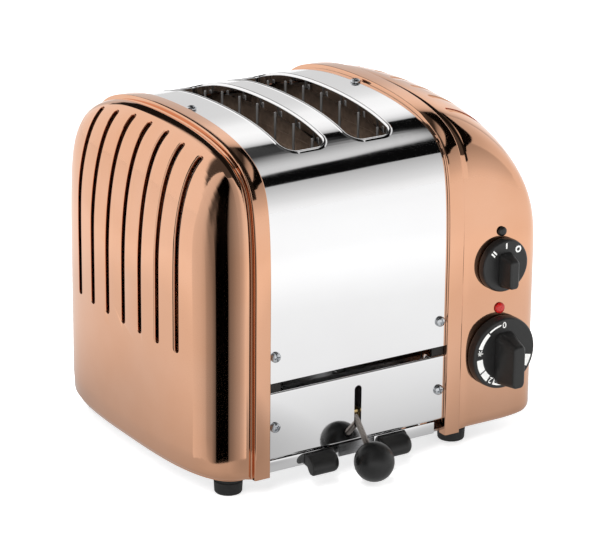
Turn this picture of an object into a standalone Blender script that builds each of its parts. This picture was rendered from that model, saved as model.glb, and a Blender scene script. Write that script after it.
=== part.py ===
"""Two-slot pop up toaster: copper end castings, bright arched cover, ball lever.

Frame: +X to the control end, -Y to the front (lever and knobs), +Z up, table at
z = 0.  Sizes below are in millimetres and every mesh is written in metres.
Body coordinates have y = 0 at the middle of the cover; BODY_SHIFT_Y moves them so
that the whole object's box is centred on the origin.
"""
from math import atan2, cos, pi, sin, sqrt

import bmesh
import bpy
from mathutils import Matrix, Vector

MM = 0.001

# ---- overall sizes -------------------------------------------------------------
COVER_LEFT, COVER_RIGHT = -84.0, 44.0      # x of the bright cover's two edges
HALF_DEPTH = 101.0                         # flange plane, front and back
CREST_Z = 220.0                            # top of the casting flanges
FLANGE_PROUD = 2.5                         # flange stands this far off the cover
SHEET = 1.0                                # cover and panel thickness
CASTING_FOOT_Z = 12.5                      # lower edge of the castings
GAP = 0.3                                  # clearance between touching pieces

# ---- end castings --------------------------------------------------------------
FLANGE_WIDTH = 11.0
BODY_INSET = 2.4                           # body surface below the flange surface
WALL = 3.0
LEFT_REACH, LEFT_BOW = 31.3, 0.0           # beyond the flange step
RIGHT_REACH, RIGHT_BOW = 60.0, 11.5
VENT_PITCH, VENT_WIDTH, VENT_COUNT = 20.1, 4.6, 7
VENT_LOW_Z = 88.0
LEFT_VENT_END, RIGHT_VENT_END = -107.0, 66.0

# ---- cover, panels and slots ---------------------------------------------------
COVER_LOW_Z = 72.0
PANEL_HIGH_Z, PANEL_LOW_Z = 66.0, 22.7
SLOT_CENTRES = (-43.5, 3.5)
SLOT_WIDTH, SLOT_LENGTH, SLOT_CORNER = 29.0, 149.0, 8.0
MID_X = -20.0

# ---- chamber -------------------------------------------------------------------
SIDE_LEFT, SIDE_RIGHT = -81.3, 41.3        # inner faces of the side plates
END_PLATE_Y = 76.0
BOARD_LOW_Z, BOARD_HIGH_Z = 78.0, 196.0
BOARD_X = (-68.0, -20.0, 28.0)
GUARD_OFFSET = 12.5

# ---- lever ---------------------------------------------------------------------
PIVOT_Y, PIVOT_Z = -48.5, 44.0
TIP_Y, TIP_Z = 30.0, 59.0
BALL_Y, BALL_Z, BALL_R = -117.5, 15.0, 12.5
ROD_CROSS_Z = 34.8                         # rod height where it meets the panel
ROD_R = 2.0
COVER_PLANE_Y = -(HALF_DEPTH - FLANGE_PROUD)
CROSSBAR_DROP = 30.0

# ---- controls ------------------------------------------------------------------
KNOB_X = 84.5
TIMER_Z, TIMER_R = 61.0, 23.5
SELECTOR_Z, SELECTOR_R = 118.4, 17.2
LENS_Z, STUD_Z = 89.2, 139.6
FACE_Y = -(HALF_DEPTH - BODY_INSET)

# ---- feet and trays ------------------------------------------------------------
FOOT_X, FOOT_Y, FOOT_R = (-101.5, 63.1), 80.5, 9.0
BASE_LOW_Z, BASE_HIGH_Z = 13.5, 15.0
TRAY_LEFT = (-83.3, -33.1)
TRAY_RIGHT = (-6.9, 38.0)
GRIP_X = (-50.7, 5.8)
GRIP_LENGTH = 25.4
GLAND_Z, GLAND_Y = 36.0, 111.0

BODY_SHIFT_Y = 0.5 * ((-BALL_Y + BALL_R) - GLAND_Y)


# ---- scene and materials -------------------------------------------------------
for old in list(bpy.data.objects):
    bpy.data.objects.remove(old, do_unlink=True)


def make_material(name, colour, roughness, metallic):
    """Return a Principled material with one colour, roughness and metallic value."""
    mat = bpy.data.materials.new(name)
    mat.use_nodes = True
    shader = mat.node_tree.nodes["Principled BSDF"]
    shader.inputs["Base Color"].default_value = (*colour, 1.0)
    shader.inputs["Roughness"].default_value = roughness
    shader.inputs["Metallic"].default_value = metallic
    mat.diffuse_color = (*colour, 1.0)
    return mat


COPPER = make_material("copper_plate", (0.80, 0.50, 0.36), 0.12, 1.0)
BRIGHT = make_material("bright_steel", (0.83, 0.83, 0.84), 0.10, 1.0)
STEEL = make_material("plain_steel", (0.55, 0.56, 0.57), 0.35, 1.0)
DARK_STEEL = make_material("dark_steel", (0.10, 0.10, 0.10), 0.5, 0.8)
ZINC = make_material("zinc_screw", (0.62, 0.64, 0.66), 0.25, 1.0)
BLACK = make_material("black_plastic", (0.02, 0.02, 0.022), 0.4, 0.0)
RUBBER = make_material("black_rubber", (0.03, 0.03, 0.03), 0.8, 0.0)
BRASS = make_material("brass", (0.72, 0.55, 0.25), 0.3, 1.0)
MICA = make_material("brown_mica", (0.16, 0.10, 0.07), 0.6, 0.0)
RIBBON = make_material("heater_ribbon", (0.40, 0.37, 0.34), 0.4, 1.0)
RED = make_material("red_lens", (0.65, 0.03, 0.02), 0.15, 0.0)
CERAMIC = make_material("cream_ceramic", (0.75, 0.70, 0.60), 0.5, 0.0)


def make_object(name, bm, mat, origin=(0.0, 0.0, 0.0), smooth=40.0):
    """Write a bmesh in body millimetres as one object with its origin on origin."""
    shift = Vector((-origin[0], -origin[1], -origin[2]))
    bmesh.ops.translate(bm, verts=bm.verts, vec=shift)
    bmesh.ops.scale(bm, verts=bm.verts, vec=(MM, MM, MM))
    bmesh.ops.recalc_face_normals(bm, faces=bm.faces)
    mesh = bpy.data.meshes.new(name)
    bm.to_mesh(mesh)
    bm.free()
    mesh.materials.append(mat)
    obj = bpy.data.objects.new(name, mesh)
    obj.location = (origin[0] * MM, (origin[1] + BODY_SHIFT_Y) * MM, origin[2] * MM)
    bpy.context.collection.objects.link(obj)
    if smooth:
        mesh.shade_smooth()
        mesh.set_sharp_from_angle(angle=smooth * pi / 180)
    return obj


def make_cutter(name, bm, origin=(0.0, 0.0, 0.0)):
    """Return a hidden guide object for Boolean modifiers."""
    obj = make_object(name, bm, STEEL, origin=origin, smooth=0.0)
    obj.hide_render = True
    obj.display_type = 'WIRE'
    return obj


def combine(obj, other, operation='DIFFERENCE'):
    """Add an exact Boolean modifier with another object."""
    mod = obj.modifiers.new(operation.lower(), 'BOOLEAN')
    mod.operation = operation
    mod.solver = 'EXACT'
    mod.object = other


# ---- mesh builders (millimetres) -----------------------------------------------
def box(x0, x1, y0, y1, z0, z1, bm=None):
    """Box between two corners, added to bm when one is given."""
    bm = bm or bmesh.new()
    size = Matrix.Diagonal((x1 - x0, y1 - y0, z1 - z0, 1.0))
    place = Matrix.Translation(((x0 + x1) / 2, (y0 + y1) / 2, (z0 + z1) / 2))
    bmesh.ops.create_cube(bm, size=1.0, matrix=place @ size)
    return bm


def axis_matrix(axis):
    """Rotation that takes +Z to the named axis."""
    turns = {'X': Matrix.Rotation(pi / 2, 4, 'Y'), 'Y': Matrix.Rotation(-pi / 2, 4, 'X')}
    return turns.get(axis, Matrix.Identity(4))


def rod(start, end, radius, segments=12, bm=None):
    """Round bar between two points."""
    bm = bm or bmesh.new()
    a, b = Vector(start), Vector(end)
    turn = (b - a).to_track_quat('Z', 'Y').to_matrix().to_4x4()
    bmesh.ops.create_cone(bm, cap_ends=True, segments=segments, radius1=radius,
                          radius2=radius, depth=(b - a).length,
                          matrix=Matrix.Translation((a + b) / 2) @ turn)
    return bm


def turned(profile, segments, axis='Z', at=(0, 0, 0)):
    """Turn a closed profile of (radius, height) about an axis; both ends on axis."""
    bm = bmesh.new()
    place = Matrix.Translation(at) @ axis_matrix(axis)
    rings = []
    for radius, height in profile:
        if radius < 1e-6:
            rings.append([bm.verts.new(place @ Vector((0, 0, height)))])
            continue
        ring = []
        for i in range(segments):
            a = 2 * pi * i / segments
            point = Vector((radius * cos(a), radius * sin(a), height))
            ring.append(bm.verts.new(place @ point))
        rings.append(ring)
    for low, high in zip(rings, rings[1:]):
        for i in range(segments):
            j = (i + 1) % segments
            corners = [low[i % len(low)], low[j % len(low)],
                       high[j % len(high)], high[i % len(high)]]
            unique = [v for k, v in enumerate(corners) if v not in corners[:k]]
            bm.faces.new(unique)
    return bm


def prism(outline, axis, low, high, bm=None):
    """Extrude a closed 2-D outline along an axis; outline is in the other two axes."""
    bm = bm or bmesh.new()
    order = {'X': lambda u, v, w: (w, u, v), 'Y': lambda u, v, w: (u, w, v),
             'Z': lambda u, v, w: (u, v, w)}[axis]
    a = [bm.verts.new(order(u, v, low)) for u, v in outline]
    b = [bm.verts.new(order(u, v, high)) for u, v in outline]
    bm.faces.new(a)
    bm.faces.new(b[::-1])
    for i in range(len(a)):
        j = (i + 1) % len(a)
        bm.faces.new((a[i], b[i], b[j], a[j]))
    return bm


def rounded(u0, u1, v0, v1, radius, steps=3):
    """Outline of a rectangle with round corners."""
    points = []
    for cu, cv, start in ((u1 - radius, v1 - radius, 0), (u0 + radius, v1 - radius, 1),
                          (u0 + radius, v0 + radius, 2), (u1 - radius, v0 + radius, 3)):
        for k in range(steps + 1):
            a = (start + k / steps) * pi / 2
            points.append((cu + radius * cos(a), cv + radius * sin(a)))
    return points


def cells(xs, ys, zs, keep):
    """Closed surface around the kept cells of a grid of boxes."""
    bm = bmesh.new()
    made = {}

    def vert(i, j, k):
        if (i, j, k) not in made:
            made[i, j, k] = bm.verts.new((xs[i], ys[j], zs[k]))
        return made[i, j, k]

    counts = (len(xs) - 1, len(ys) - 1, len(zs) - 1)

    def kept(i, j, k):
        inside = 0 <= i < counts[0] and 0 <= j < counts[1] and 0 <= k < counts[2]
        return inside and keep(i, j, k)

    sides = (((-1, 0, 0), ((0, 0, 0), (0, 0, 1), (0, 1, 1), (0, 1, 0))),
             ((1, 0, 0), ((1, 0, 0), (1, 1, 0), (1, 1, 1), (1, 0, 1))),
             ((0, -1, 0), ((0, 0, 0), (1, 0, 0), (1, 0, 1), (0, 0, 1))),
             ((0, 1, 0), ((0, 1, 0), (0, 1, 1), (1, 1, 1), (1, 1, 0))),
             ((0, 0, -1), ((0, 0, 0), (0, 1, 0), (1, 1, 0), (1, 0, 0))),
             ((0, 0, 1), ((0, 0, 1), (1, 0, 1), (1, 1, 1), (0, 1, 1))))
    for i in range(counts[0]):
        for j in range(counts[1]):
            for k in range(counts[2]):
                if not kept(i, j, k):
                    continue
                for step, corners in sides:
                    if kept(i + step[0], j + step[1], k + step[2]):
                        continue
                    bm.faces.new([vert(i + a, j + b, k + c) for a, b, c in corners])
    return bm


# ---- the arch shared by the cover and both castings ----------------------------
def bezier(p0, p1, p2, p3, t):
    """Point on a cubic Bezier curve."""
    s = 1 - t
    return tuple(s ** 3 * a + 3 * s * s * t * b + 3 * s * t * t * c + t ** 3 * d
                 for a, b, c, d in zip(p0, p1, p2, p3))


def half_arch(low_z, steps):
    """Front half of the outline, (inset from the front plane, z), bottom to crest."""
    points = [(0.0, low_z), (0.0, 125.0)]
    lean = ((0.0, 125.0), (0.0, 185.0), (6.1, 194.1), (13.2, 201.2))
    crown = ((13.2, 201.2), (20.0, 208.0), (40.0, 220.0), (HALF_DEPTH, 220.0))
    points += [bezier(*lean, (k + 1) / steps) for k in range(steps)]
    points += [bezier(*crown, (k + 1) / steps) for k in range(steps)]
    return points


def arch(offset, low_z=CASTING_FOOT_Z, steps=6):
    """Whole outline front to back as (y, z), moved inward by offset."""
    half = half_arch(low_z, steps)
    front = [(-HALF_DEPTH + inset, z) for inset, z in half]
    line = front + [(-y, z) for y, z in reversed(front[:-1])]
    moved = []
    for i, (y, z) in enumerate(line):
        y0, z0 = line[max(i - 1, 0)]
        y1, z1 = line[min(i + 1, len(line) - 1)]
        if i == 0 or i == len(line) - 1:
            moved.append((y + (offset if i == 0 else -offset), z))
            continue
        length = sqrt((y1 - y0) ** 2 + (z1 - z0) ** 2)
        moved.append((y + offset * (z1 - z0) / length, z - offset * (y1 - y0) / length))
    return moved


def arch_strip(x0, x1, outer, inner, low_z, steps=6):
    """Arched sheet between two offsets of the outline."""
    outline = arch(outer, low_z, steps) + arch(inner, low_z, steps)[::-1]
    return prism(outline, 'X', x0, x1)


# ---- end castings --------------------------------------------------------------
def superellipse(g, power):
    """Height of a unit superellipse at g."""
    return max(0.0, 1.0 - g ** power) ** (1.0 / power)


def casting_rings(edge_x, side, reach, bow, side_power, top_power, wall, levels):
    """Rings of one casting surface, from the flange outward to the end face."""
    base = arch(BODY_INSET + wall)
    half = HALF_DEPTH - BODY_INSET - wall
    centre_z = 118.0
    rings = []
    for level in levels:
        ky = superellipse(level, side_power)
        kz = superellipse(level, top_power)
        ring = []
        for y, z in base:
            yy = ky * y
            zz = centre_z + kz * (z - centre_z) if z > centre_z else z
            bulge = bow * (1 - (yy / half) ** 2)
            out = FLANGE_WIDTH + 1.5 + (reach - wall + bulge) * level
            tuck = 2.5 * min(1.0, 4 * level) if wall == 0 and z < CASTING_FOOT_Z + 0.1 else 0.0
            yy -= tuck * (yy / half)
            ring.append((edge_x + side * (out - tuck * level), yy, zz))
        rings.append(ring)
    return rings


def casting(name, edge_x, side, reach, bow, side_power, top_power, levels):
    """Hollow end casting with a proud rim flange, open at the bottom and inside."""
    def flat_ring(out, offset):
        return [(edge_x + side * out, y, z) for y, z in arch(offset)]

    outer = [flat_ring(0.0, 0.9), flat_ring(0.9, 0.0), flat_ring(FLANGE_WIDTH - 0.8, 0.0),
             flat_ring(FLANGE_WIDTH, 0.8), flat_ring(FLANGE_WIDTH + 0.5, 2.0)]
    outer += casting_rings(edge_x, side, reach, bow, side_power, top_power, 0.0, levels)
    inner = [flat_ring(0.0, 6.3)]
    inner += casting_rings(edge_x, side, reach, bow, side_power, top_power, WALL, levels)
    rings = outer[:-1] + inner[:-1][::-1]
    bm = bmesh.new()
    rows = [[bm.verts.new(p) for p in ring] for ring in rings]
    count = len(rows)
    for r in range(count):
        low, high = rows[r], rows[(r + 1) % count]
        if r == len(outer) - 2:
            continue
        for k in range(len(low) - 1):
            bm.faces.new((low[k], low[k + 1], high[k + 1], high[k]))
    for index, spine_ring in ((len(outer) - 2, outer[-1]), (len(outer) - 1, inner[-1])):
        row = rows[index]
        middle = len(row) // 2
        spine = {}

        def spine_vert(k):
            x, _, z = spine_ring[k]
            key = round(z, 3)
            if key not in spine:
                spine[key] = bm.verts.new((x, 0.0, z))
            return spine[key]

        for k in range(len(row) - 1):
            corners = [row[k], row[k + 1], spine_vert(k + 1), spine_vert(k)]
            unique = [v for n, v in enumerate(corners) if v not in corners[:n]]
            bm.faces.new(unique)
        if index == len(outer) - 2:
            outer_foot = spine_vert(0)
        else:
            inner_foot = spine_vert(0)
    front = [row[0] for row in rows]
    back = [row[-1] for row in rows]
    cut = len(outer) - 1
    close_foot(bm, front, back, cut, outer_foot, inner_foot)
    bmesh.ops.recalc_face_normals(bm, faces=bm.faces)
    return make_object(name, bm, COPPER)


def close_foot(bm, front, back, cut, outer_foot, inner_foot):
    """Fill the flat rim under a casting between its outer and inner walls."""
    outer_path = front[:cut] + [outer_foot] + back[:cut][::-1]
    inner_path = front[cut:][::-1] + [inner_foot] + back[cut:]
    extra = len(outer_path) - len(inner_path)
    lead = extra // 2
    for k in range(lead):
        bm.faces.new((outer_path[k], outer_path[k + 1], inner_path[0]))
        bm.faces.new((outer_path[-1 - k], outer_path[-2 - k], inner_path[-1]))
    for k in range(len(inner_path) - 1):
        bm.faces.new((outer_path[lead + k], outer_path[lead + k + 1],
                      inner_path[k + 1], inner_path[k]))


LEFT_LEVELS = [0.0] + [sin(pi / 2 * k / 7) ** 0.8 for k in range(1, 7)] + [1.0]
RIGHT_LEVELS = [1 - (1 - k / 9) ** 2.7 for k in range(10)]

left_casting = casting("left_end_casting", COVER_LEFT, -1, LEFT_REACH, LEFT_BOW,
                       2.6, 2.4, LEFT_LEVELS)
right_casting = casting("right_end_casting", COVER_RIGHT, 1, RIGHT_REACH, RIGHT_BOW,
                        8.0, 2.2, RIGHT_LEVELS)


def vent_cutter(name, inner_x, outer_x):
    """Seven upright slots, round at the lower end and where they stop on top."""
    bm = bmesh.new()
    for n in range(VENT_COUNT):
        y = (n - VENT_COUNT // 2) * VENT_PITCH
        part = box(inner_x, outer_x, y - VENT_WIDTH / 2, y + VENT_WIDTH / 2,
                   VENT_LOW_Z, CREST_Z + 20)
        picked = []
        for edge in part.edges:
            a, b = (v.co for v in edge.verts)
            low = abs(a.z - VENT_LOW_Z) < 0.1 and abs(b.z - VENT_LOW_Z) < 0.1
            along_x = abs(a.x - b.x) > 1
            upright = abs(a.z - b.z) > 1 and abs(a.x - inner_x) < 0.1
            if (low and along_x) or upright:
                picked.append(edge)
        bmesh.ops.bevel(part, geom=picked, offset=VENT_WIDTH / 2 - 0.4, segments=1,
                        profile=0.5, affect='EDGES', clamp_overlap=True)
        scratch = bpy.data.meshes.new("scratch")
        part.to_mesh(scratch)
        part.free()
        bm.from_mesh(scratch)
        bpy.data.meshes.remove(scratch)
    return make_cutter(name, bm)


combine(left_casting, vent_cutter("cut_vents_left", LEFT_VENT_END, -145.0))
combine(right_casting, vent_cutter("cut_vents_right", RIGHT_VENT_END, 145.0))

holes = bmesh.new()
for z, radius in ((TIMER_Z, 3.6), (SELECTOR_Z, 3.6), (LENS_Z, 2.9), (STUD_Z, 2.4)):
    rod((KNOB_X, -110, z), (KNOB_X, -90, z), radius, 16, holes)
rod((KNOB_X, 90, GLAND_Z), (KNOB_X, 112, GLAND_Z), 6.5, 20, holes)
combine(right_casting, make_cutter("cut_control_holes", holes))

# ---- main cover ----------------------------------------------------------------
SCREW_IN = 4.4
SCREW_XS = (COVER_LEFT + SCREW_IN, COVER_RIGHT - SCREW_IN)
COVER_SCREW_Z, PANEL_SCREW_Z = 88.7, 43.5
COVER_TOP_Z = CREST_Z - FLANGE_PROUD

screw_holes = bmesh.new()
for x in SCREW_XS:
    for z in (COVER_SCREW_Z, PANEL_SCREW_Z):
        rod((x, -105, z), (x, 105, z), 1.9, 10, screw_holes)
    rod((x, 0, 190), (x, 0, 225), 1.9, 10, screw_holes)
screw_cutter = make_cutter("cut_screw_holes", screw_holes)

cover = make_object("main_cover", arch_strip(COVER_LEFT + GAP, COVER_RIGHT - GAP,
                                             FLANGE_PROUD, FLANGE_PROUD + SHEET,
                                             COVER_LOW_Z), BRIGHT)
slot_cuts = bmesh.new()
for n, x in enumerate(SLOT_CENTRES):
    half_w, half_l = SLOT_WIDTH / 2, SLOT_LENGTH / 2
    lip = make_cutter(f"guide_lip_{n}", arch_strip(x - half_w - 1.3, x + half_w + 1.3,
                                                  FLANGE_PROUD - 0.5, 9.0, 150.0))
    lip_plan = prism(rounded(x - half_w - 1.2, x + half_w + 1.2, -half_l - 1.2,
                             half_l + 1.2, SLOT_CORNER + 1.2), 'Z', 170, 230)
    combine(lip, make_cutter(f"guide_lip_plan_{n}", lip_plan), 'INTERSECT')
    combine(cover, lip, 'UNION')
    prism(rounded(x - half_w, x + half_w, -half_l, half_l, SLOT_CORNER), 'Z', 160, 240,
          slot_cuts)
combine(cover, make_cutter("cut_bread_slots", slot_cuts))
combine(cover, screw_cutter)

for name, x0, x1 in (("arch_frame_left", COVER_LEFT + GAP, COVER_LEFT + 9),
                     ("arch_frame_right", COVER_RIGHT - 9, COVER_RIGHT - GAP)):
    frame = make_object(name, arch_strip(x0, x1, 3.8, 5.3, 24.0, 5), STEEL)
    combine(frame, screw_cutter)


# ---- lower panels --------------------------------------------------------------
def lower_panel(name, direction):
    """Flat panel with a folded return along its top and bottom edges."""
    face = COVER_PLANE_Y
    ys = [face, face + SHEET, face + 7.0]
    xs = [COVER_LEFT + GAP, COVER_LEFT + 10, COVER_RIGHT - 10, COVER_RIGHT - GAP]
    zs = [PANEL_LOW_Z, PANEL_LOW_Z + SHEET, PANEL_HIGH_Z - SHEET, PANEL_HIGH_Z]
    bm = cells(xs, ys, zs, lambda i, j, k: j == 0 or (i == 1 and k != 1))
    if direction > 0:
        bmesh.ops.scale(bm, verts=bm.verts, vec=(1, -1, 1))
        bmesh.ops.reverse_faces(bm, faces=bm.faces)
    panel = make_object(name, bm, BRIGHT)
    combine(panel, screw_cutter)
    return panel


front_panel = lower_panel("lower_front_panel", -1)
lower_panel("lower_back_panel", 1)
lever_slot = prism(rounded(MID_X - 2.55, MID_X + 2.55, 31.0, 58.5, 2.5), 'Y', -104, -96)
combine(front_panel, make_cutter("cut_lever_slot", lever_slot))


# ---- base plate ----------------------------------------------------------------
def plan_point(edge_x, side, reach, bow, power, level):
    """Inner wall of a casting at its foot, as (distance from edge, half width)."""
    half = HALF_DEPTH - BODY_INSET - WALL
    y = superellipse(level, power) * half
    out = FLANGE_WIDTH + 1.5 + (reach - WALL + bow * (1 - (y / half) ** 2)) * level
    return edge_x + side * out, y


BASE_HALF = HALF_DEPTH - 6.3 - 0.5
right_side = [plan_point(COVER_RIGHT, 1, RIGHT_REACH, RIGHT_BOW, 8.0, v)
              for v in RIGHT_LEVELS[:-1]]
left_side = [plan_point(COVER_LEFT, -1, LEFT_REACH, LEFT_BOW, 2.6, v)
             for v in LEFT_LEVELS[:-1]]
right_edge = [(x - 0.6, min(y - 0.6, BASE_HALF)) for x, y in right_side]
left_edge = [(x + 0.6, min(y - 0.6, BASE_HALF)) for x, y in left_side]
outline = [(x, -y) for x, y in right_edge]
outline += [(x, y) for x, y in reversed(right_edge)]
outline += [(x, y) for x, y in left_edge]
outline += [(x, -y) for x, y in reversed(left_edge)]
base = make_object("base_plate", prism(outline, 'Z', BASE_LOW_Z, BASE_HIGH_Z), STEEL)
tab_ys = [-97.5, -96.5, -90.0]
tab_zs = [BASE_LOW_Z + 0.2, BASE_HIGH_Z - 0.1, 21.7]
tab = cells([TRAY_LEFT[1] + 0.6, TRAY_RIGHT[0] - 0.6], tab_ys, tab_zs,
            lambda i, j, k: k == 0 or j == 0)
combine(base, make_cutter("guide_front_tab", tab), 'UNION')
base_slots = bmesh.new()
for x in (-57.0, -20.0, 17.0):
    for n in range(4):
        y = (n - 1.5) * 28.0
        prism(rounded(x - 13, x + 13, y - 2.5, y + 2.5, 2.4, 2), 'Z', 10, 18, base_slots)
combine(base, make_cutter("cut_base_vents", base_slots))

# ---- feet ----------------------------------------------------------------------
FOOT_PROFILE = [(0, 0), (FOOT_R - 1.4, 0), (FOOT_R - 0.5, 0.9), (FOOT_R, 9.5),
                (FOOT_R, 13.2), (0, 13.2)]
for side, x in zip(("left", "right"), FOOT_X):
    for end, y in (("front", -FOOT_Y), ("back", FOOT_Y)):
        foot = turned(FOOT_PROFILE, 18)
        bmesh.ops.translate(foot, verts=foot.verts, vec=(x, y, 0))
        make_object(f"foot_{side}_{end}", foot, RUBBER)


# ---- crumb trays ---------------------------------------------------------------
def crumb_tray(name, lip, pan):
    """Shallow pan with a front lip; lip and pan are (x0, x1)."""
    xs = sorted({lip[0], lip[1], pan[0], pan[0] + SHEET, pan[1] - SHEET, pan[1]})
    ys = [-97.5, -96.5, -90.0, -89.0, 84.0, 85.0]
    zs = [14.0, 15.8, 16.8, 20.0, 21.7]

    def keep(i, j, k):
        x = (xs[i] + xs[i + 1]) / 2
        in_pan = pan[0] < x < pan[1]
        wall = x < pan[0] + SHEET or x > pan[1] - SHEET
        if j == 0:
            return True
        if not in_pan:
            return False
        if k == 1:
            return True
        return k == 2 and j >= 2 and (wall or j in (2, 4))

    tray = make_object(name, cells(xs, ys, zs, keep), BRIGHT)
    return tray


crumb_tray("crumb_tray_left", TRAY_LEFT, (-79.5, TRAY_LEFT[1]))
crumb_tray("crumb_tray_right", TRAY_RIGHT, TRAY_RIGHT)

GRIP_OUTLINE = [(-97.8, 21.4), (-97.8, 14.2), (-101.0, 13.2), (-102.6, 10.9),
                (-104.6, 9.4), (-106.8, 9.6), (-108.3, 11.3), (-108.6, 14.0),
                (-107.4, 17.0), (-104.8, 19.6), (-101.4, 21.1)]
for side, x in zip(("left", "right"), GRIP_X):
    bm = prism(GRIP_OUTLINE, 'X', x - GRIP_LENGTH / 2, x + GRIP_LENGTH / 2)
    ends = [e for e in bm.edges
            if abs(e.verts[0].co.x - e.verts[1].co.x) < 0.01
            and max(v.co.y for v in e.verts) < -99]
    bmesh.ops.bevel(bm, geom=ends, offset=1.6, segments=2, profile=0.5, affect='EDGES')
    make_object(f"tray_grip_{side}", bm, BLACK)


# ---- chamber -------------------------------------------------------------------
def side_plate(name, inner, outer):
    """Upright plate with a slot for the lift crossbar."""
    ys = [-78.0, TIP_Y - 2.4, TIP_Y + 2.4, 78.0]
    zs = [BASE_HIGH_Z + GAP, TIP_Z - CROSSBAR_DROP - 2.6, TIP_Z + 2.6, 198.0]
    bm = cells(sorted((inner, outer)), ys, zs, lambda i, j, k: not (j == 1 and k == 1))
    plate = make_object(name, bm, STEEL)
    hole = rod((outer - 3, PIVOT_Y, PIVOT_Z), (outer + 3, PIVOT_Y, PIVOT_Z), 2.9, 16)
    combine(plate, make_cutter("cut_pivot_" + name, hole))
    return plate


side_plate("side_plate_left", SIDE_LEFT, SIDE_LEFT - 1.2)
side_plate("side_plate_right", SIDE_RIGHT, SIDE_RIGHT + 1.2)

for end, sign in (("front", -1), ("back", 1)):
    ys = sorted((sign * END_PLATE_Y, sign * (END_PLATE_Y + 1.2)))
    notch = (MID_X - 5, MID_X + 5) if sign < 0 else (MID_X - 20, MID_X + 20)
    xs = [SIDE_LEFT + GAP, notch[0], notch[1], SIDE_RIGHT - GAP]
    top = 66.0 if sign < 0 else 40.0
    bm = cells(xs, ys, [22.0, top, 198.0], lambda i, j, k: not (i == 1 and k == 0))
    make_object(f"end_plate_{end}", bm, STEEL)


def serpentine(face_x, thick):
    """Flat heater ribbon winding up a board in the YZ plane."""
    rows = 10
    low, high = BOARD_LOW_Z + 10, BOARD_HIGH_Z - 10
    pitch = (high - low) / (rows - 1)
    width = 2.4
    zs = []
    for n in range(rows):
        z = low + n * pitch
        zs += [z - width / 2, z + width / 2]
    ys = [-68.0, -68.0 + width, 68.0 - width, 68.0]

    def keep(i, j, k):
        if k % 2 == 0:
            return True
        turn = (k // 2) % 2
        return j == (2 if turn == 0 else 0)

    return cells(sorted((face_x, face_x + thick)), ys, zs, keep)


for tag, x in zip(("left", "centre", "right"), BOARD_X):
    board = box(x - 0.5, x + 0.5, -75.7, 75.7, BOARD_LOW_Z, BOARD_HIGH_Z)
    make_object(f"heater_board_{tag}", board, MICA)
    faces = {"left": (1,), "centre": (-1, 1), "right": (-1,)}[tag]
    for sign in faces:
        suffix = tag if len(faces) == 1 else f"{tag}_{'left' if sign < 0 else 'right'}"
        ribbon = serpentine(x + sign * (0.5 + GAP), sign * 0.4)
        make_object(f"heater_ribbon_{suffix}", ribbon, RIBBON)


def wire_guard(name, x):
    """Lattice of upright and level wires that keeps bread off a heater."""
    half = 0.8
    ys, upright = [-75.7], []
    for n in range(7):
        y = (n - 3) * 21.5
        ys += [y - half, y + half]
        upright.append(2 * n + 1)
    ys.append(75.7)
    zs, level = [BOARD_LOW_Z + 2], []
    for n, z in enumerate((104.0, 168.0)):
        zs += [z - half, z + half]
        level.append(2 * n + 1)
    zs.append(BOARD_HIGH_Z)
    bm = cells([x - half, x + half], ys, zs, lambda i, j, k: j in upright or k in level)
    make_object(name, bm, DARK_STEEL)


for tag, centre in zip(("left", "right"), SLOT_CENTRES):
    wire_guard(f"bread_guard_{tag}_outer", centre + (-1 if tag == "left" else 1) * GUARD_OFFSET)
    wire_guard(f"bread_guard_{tag}_inner", centre - (-1 if tag == "left" else 1) * GUARD_OFFSET)

# ---- lift: racks and crossbar --------------------------------------------------
crossbar = rod((-84.3, TIP_Y, TIP_Z), (44.3, TIP_Y, TIP_Z), 2.0, 12)
make_object("lift_crossbar", crossbar, STEEL, origin=(MID_X, TIP_Y, TIP_Z))


def bread_rack(name, x):
    """Slotted shelf under one slice, with a leg down to the crossbar."""
    xs = [x - 8, x - 6.5, x - 2, x + 2, x + 6.5, x + 8]
    ys = [-70.0]
    for n in range(7):
        y = -58.0 + n * 19.3
        ys += [y - 1.5, y + 1.5]
    ys.append(70.0)
    leg_low = min(range(len(ys)), key=lambda j: abs(ys[j] - (TIP_Y - 11)))
    ys = sorted(ys + [TIP_Y - 5, TIP_Y + 5])
    leg_j = ys.index(TIP_Y - 5)
    zs = [TIP_Z + 2 + GAP, 106.5, 108.0]
    bars = [j for j in range(len(ys) - 1) if abs(ys[j + 1] - ys[j] - 3.0) < 0.01]

    def keep(i, j, k):
        if k == 0:
            return i == 2 and ys[j] >= TIP_Y - 5.01 and ys[j + 1] <= TIP_Y + 5.01
        return i in (0, 2, 4) or j in bars

    bm = cells(xs, ys, zs, keep)
    make_object(name, bm, DARK_STEEL, origin=(x, TIP_Y, TIP_Z))


for tag, x in zip(("left", "right"), SLOT_CENTRES):
    bread_rack(f"bread_rack_{tag}", x)

# ---- lever ---------------------------------------------------------------------
PIVOT = (MID_X, PIVOT_Y, PIVOT_Z)
shaft = rod((-84.3, PIVOT_Y, PIVOT_Z), (44.3, PIVOT_Y, PIVOT_Z), 2.5, 16)
make_object("pivot_shaft", shaft, STEEL)

rise = atan2(TIP_Z - PIVOT_Z, TIP_Y - PIVOT_Y)


def on_arm(along, up):
    """Point given along and square to the line from the pivot to the fork."""
    return (PIVOT_Y + along * cos(rise) - up * sin(rise),
            PIVOT_Z + along * sin(rise) + up * cos(rise))


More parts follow.
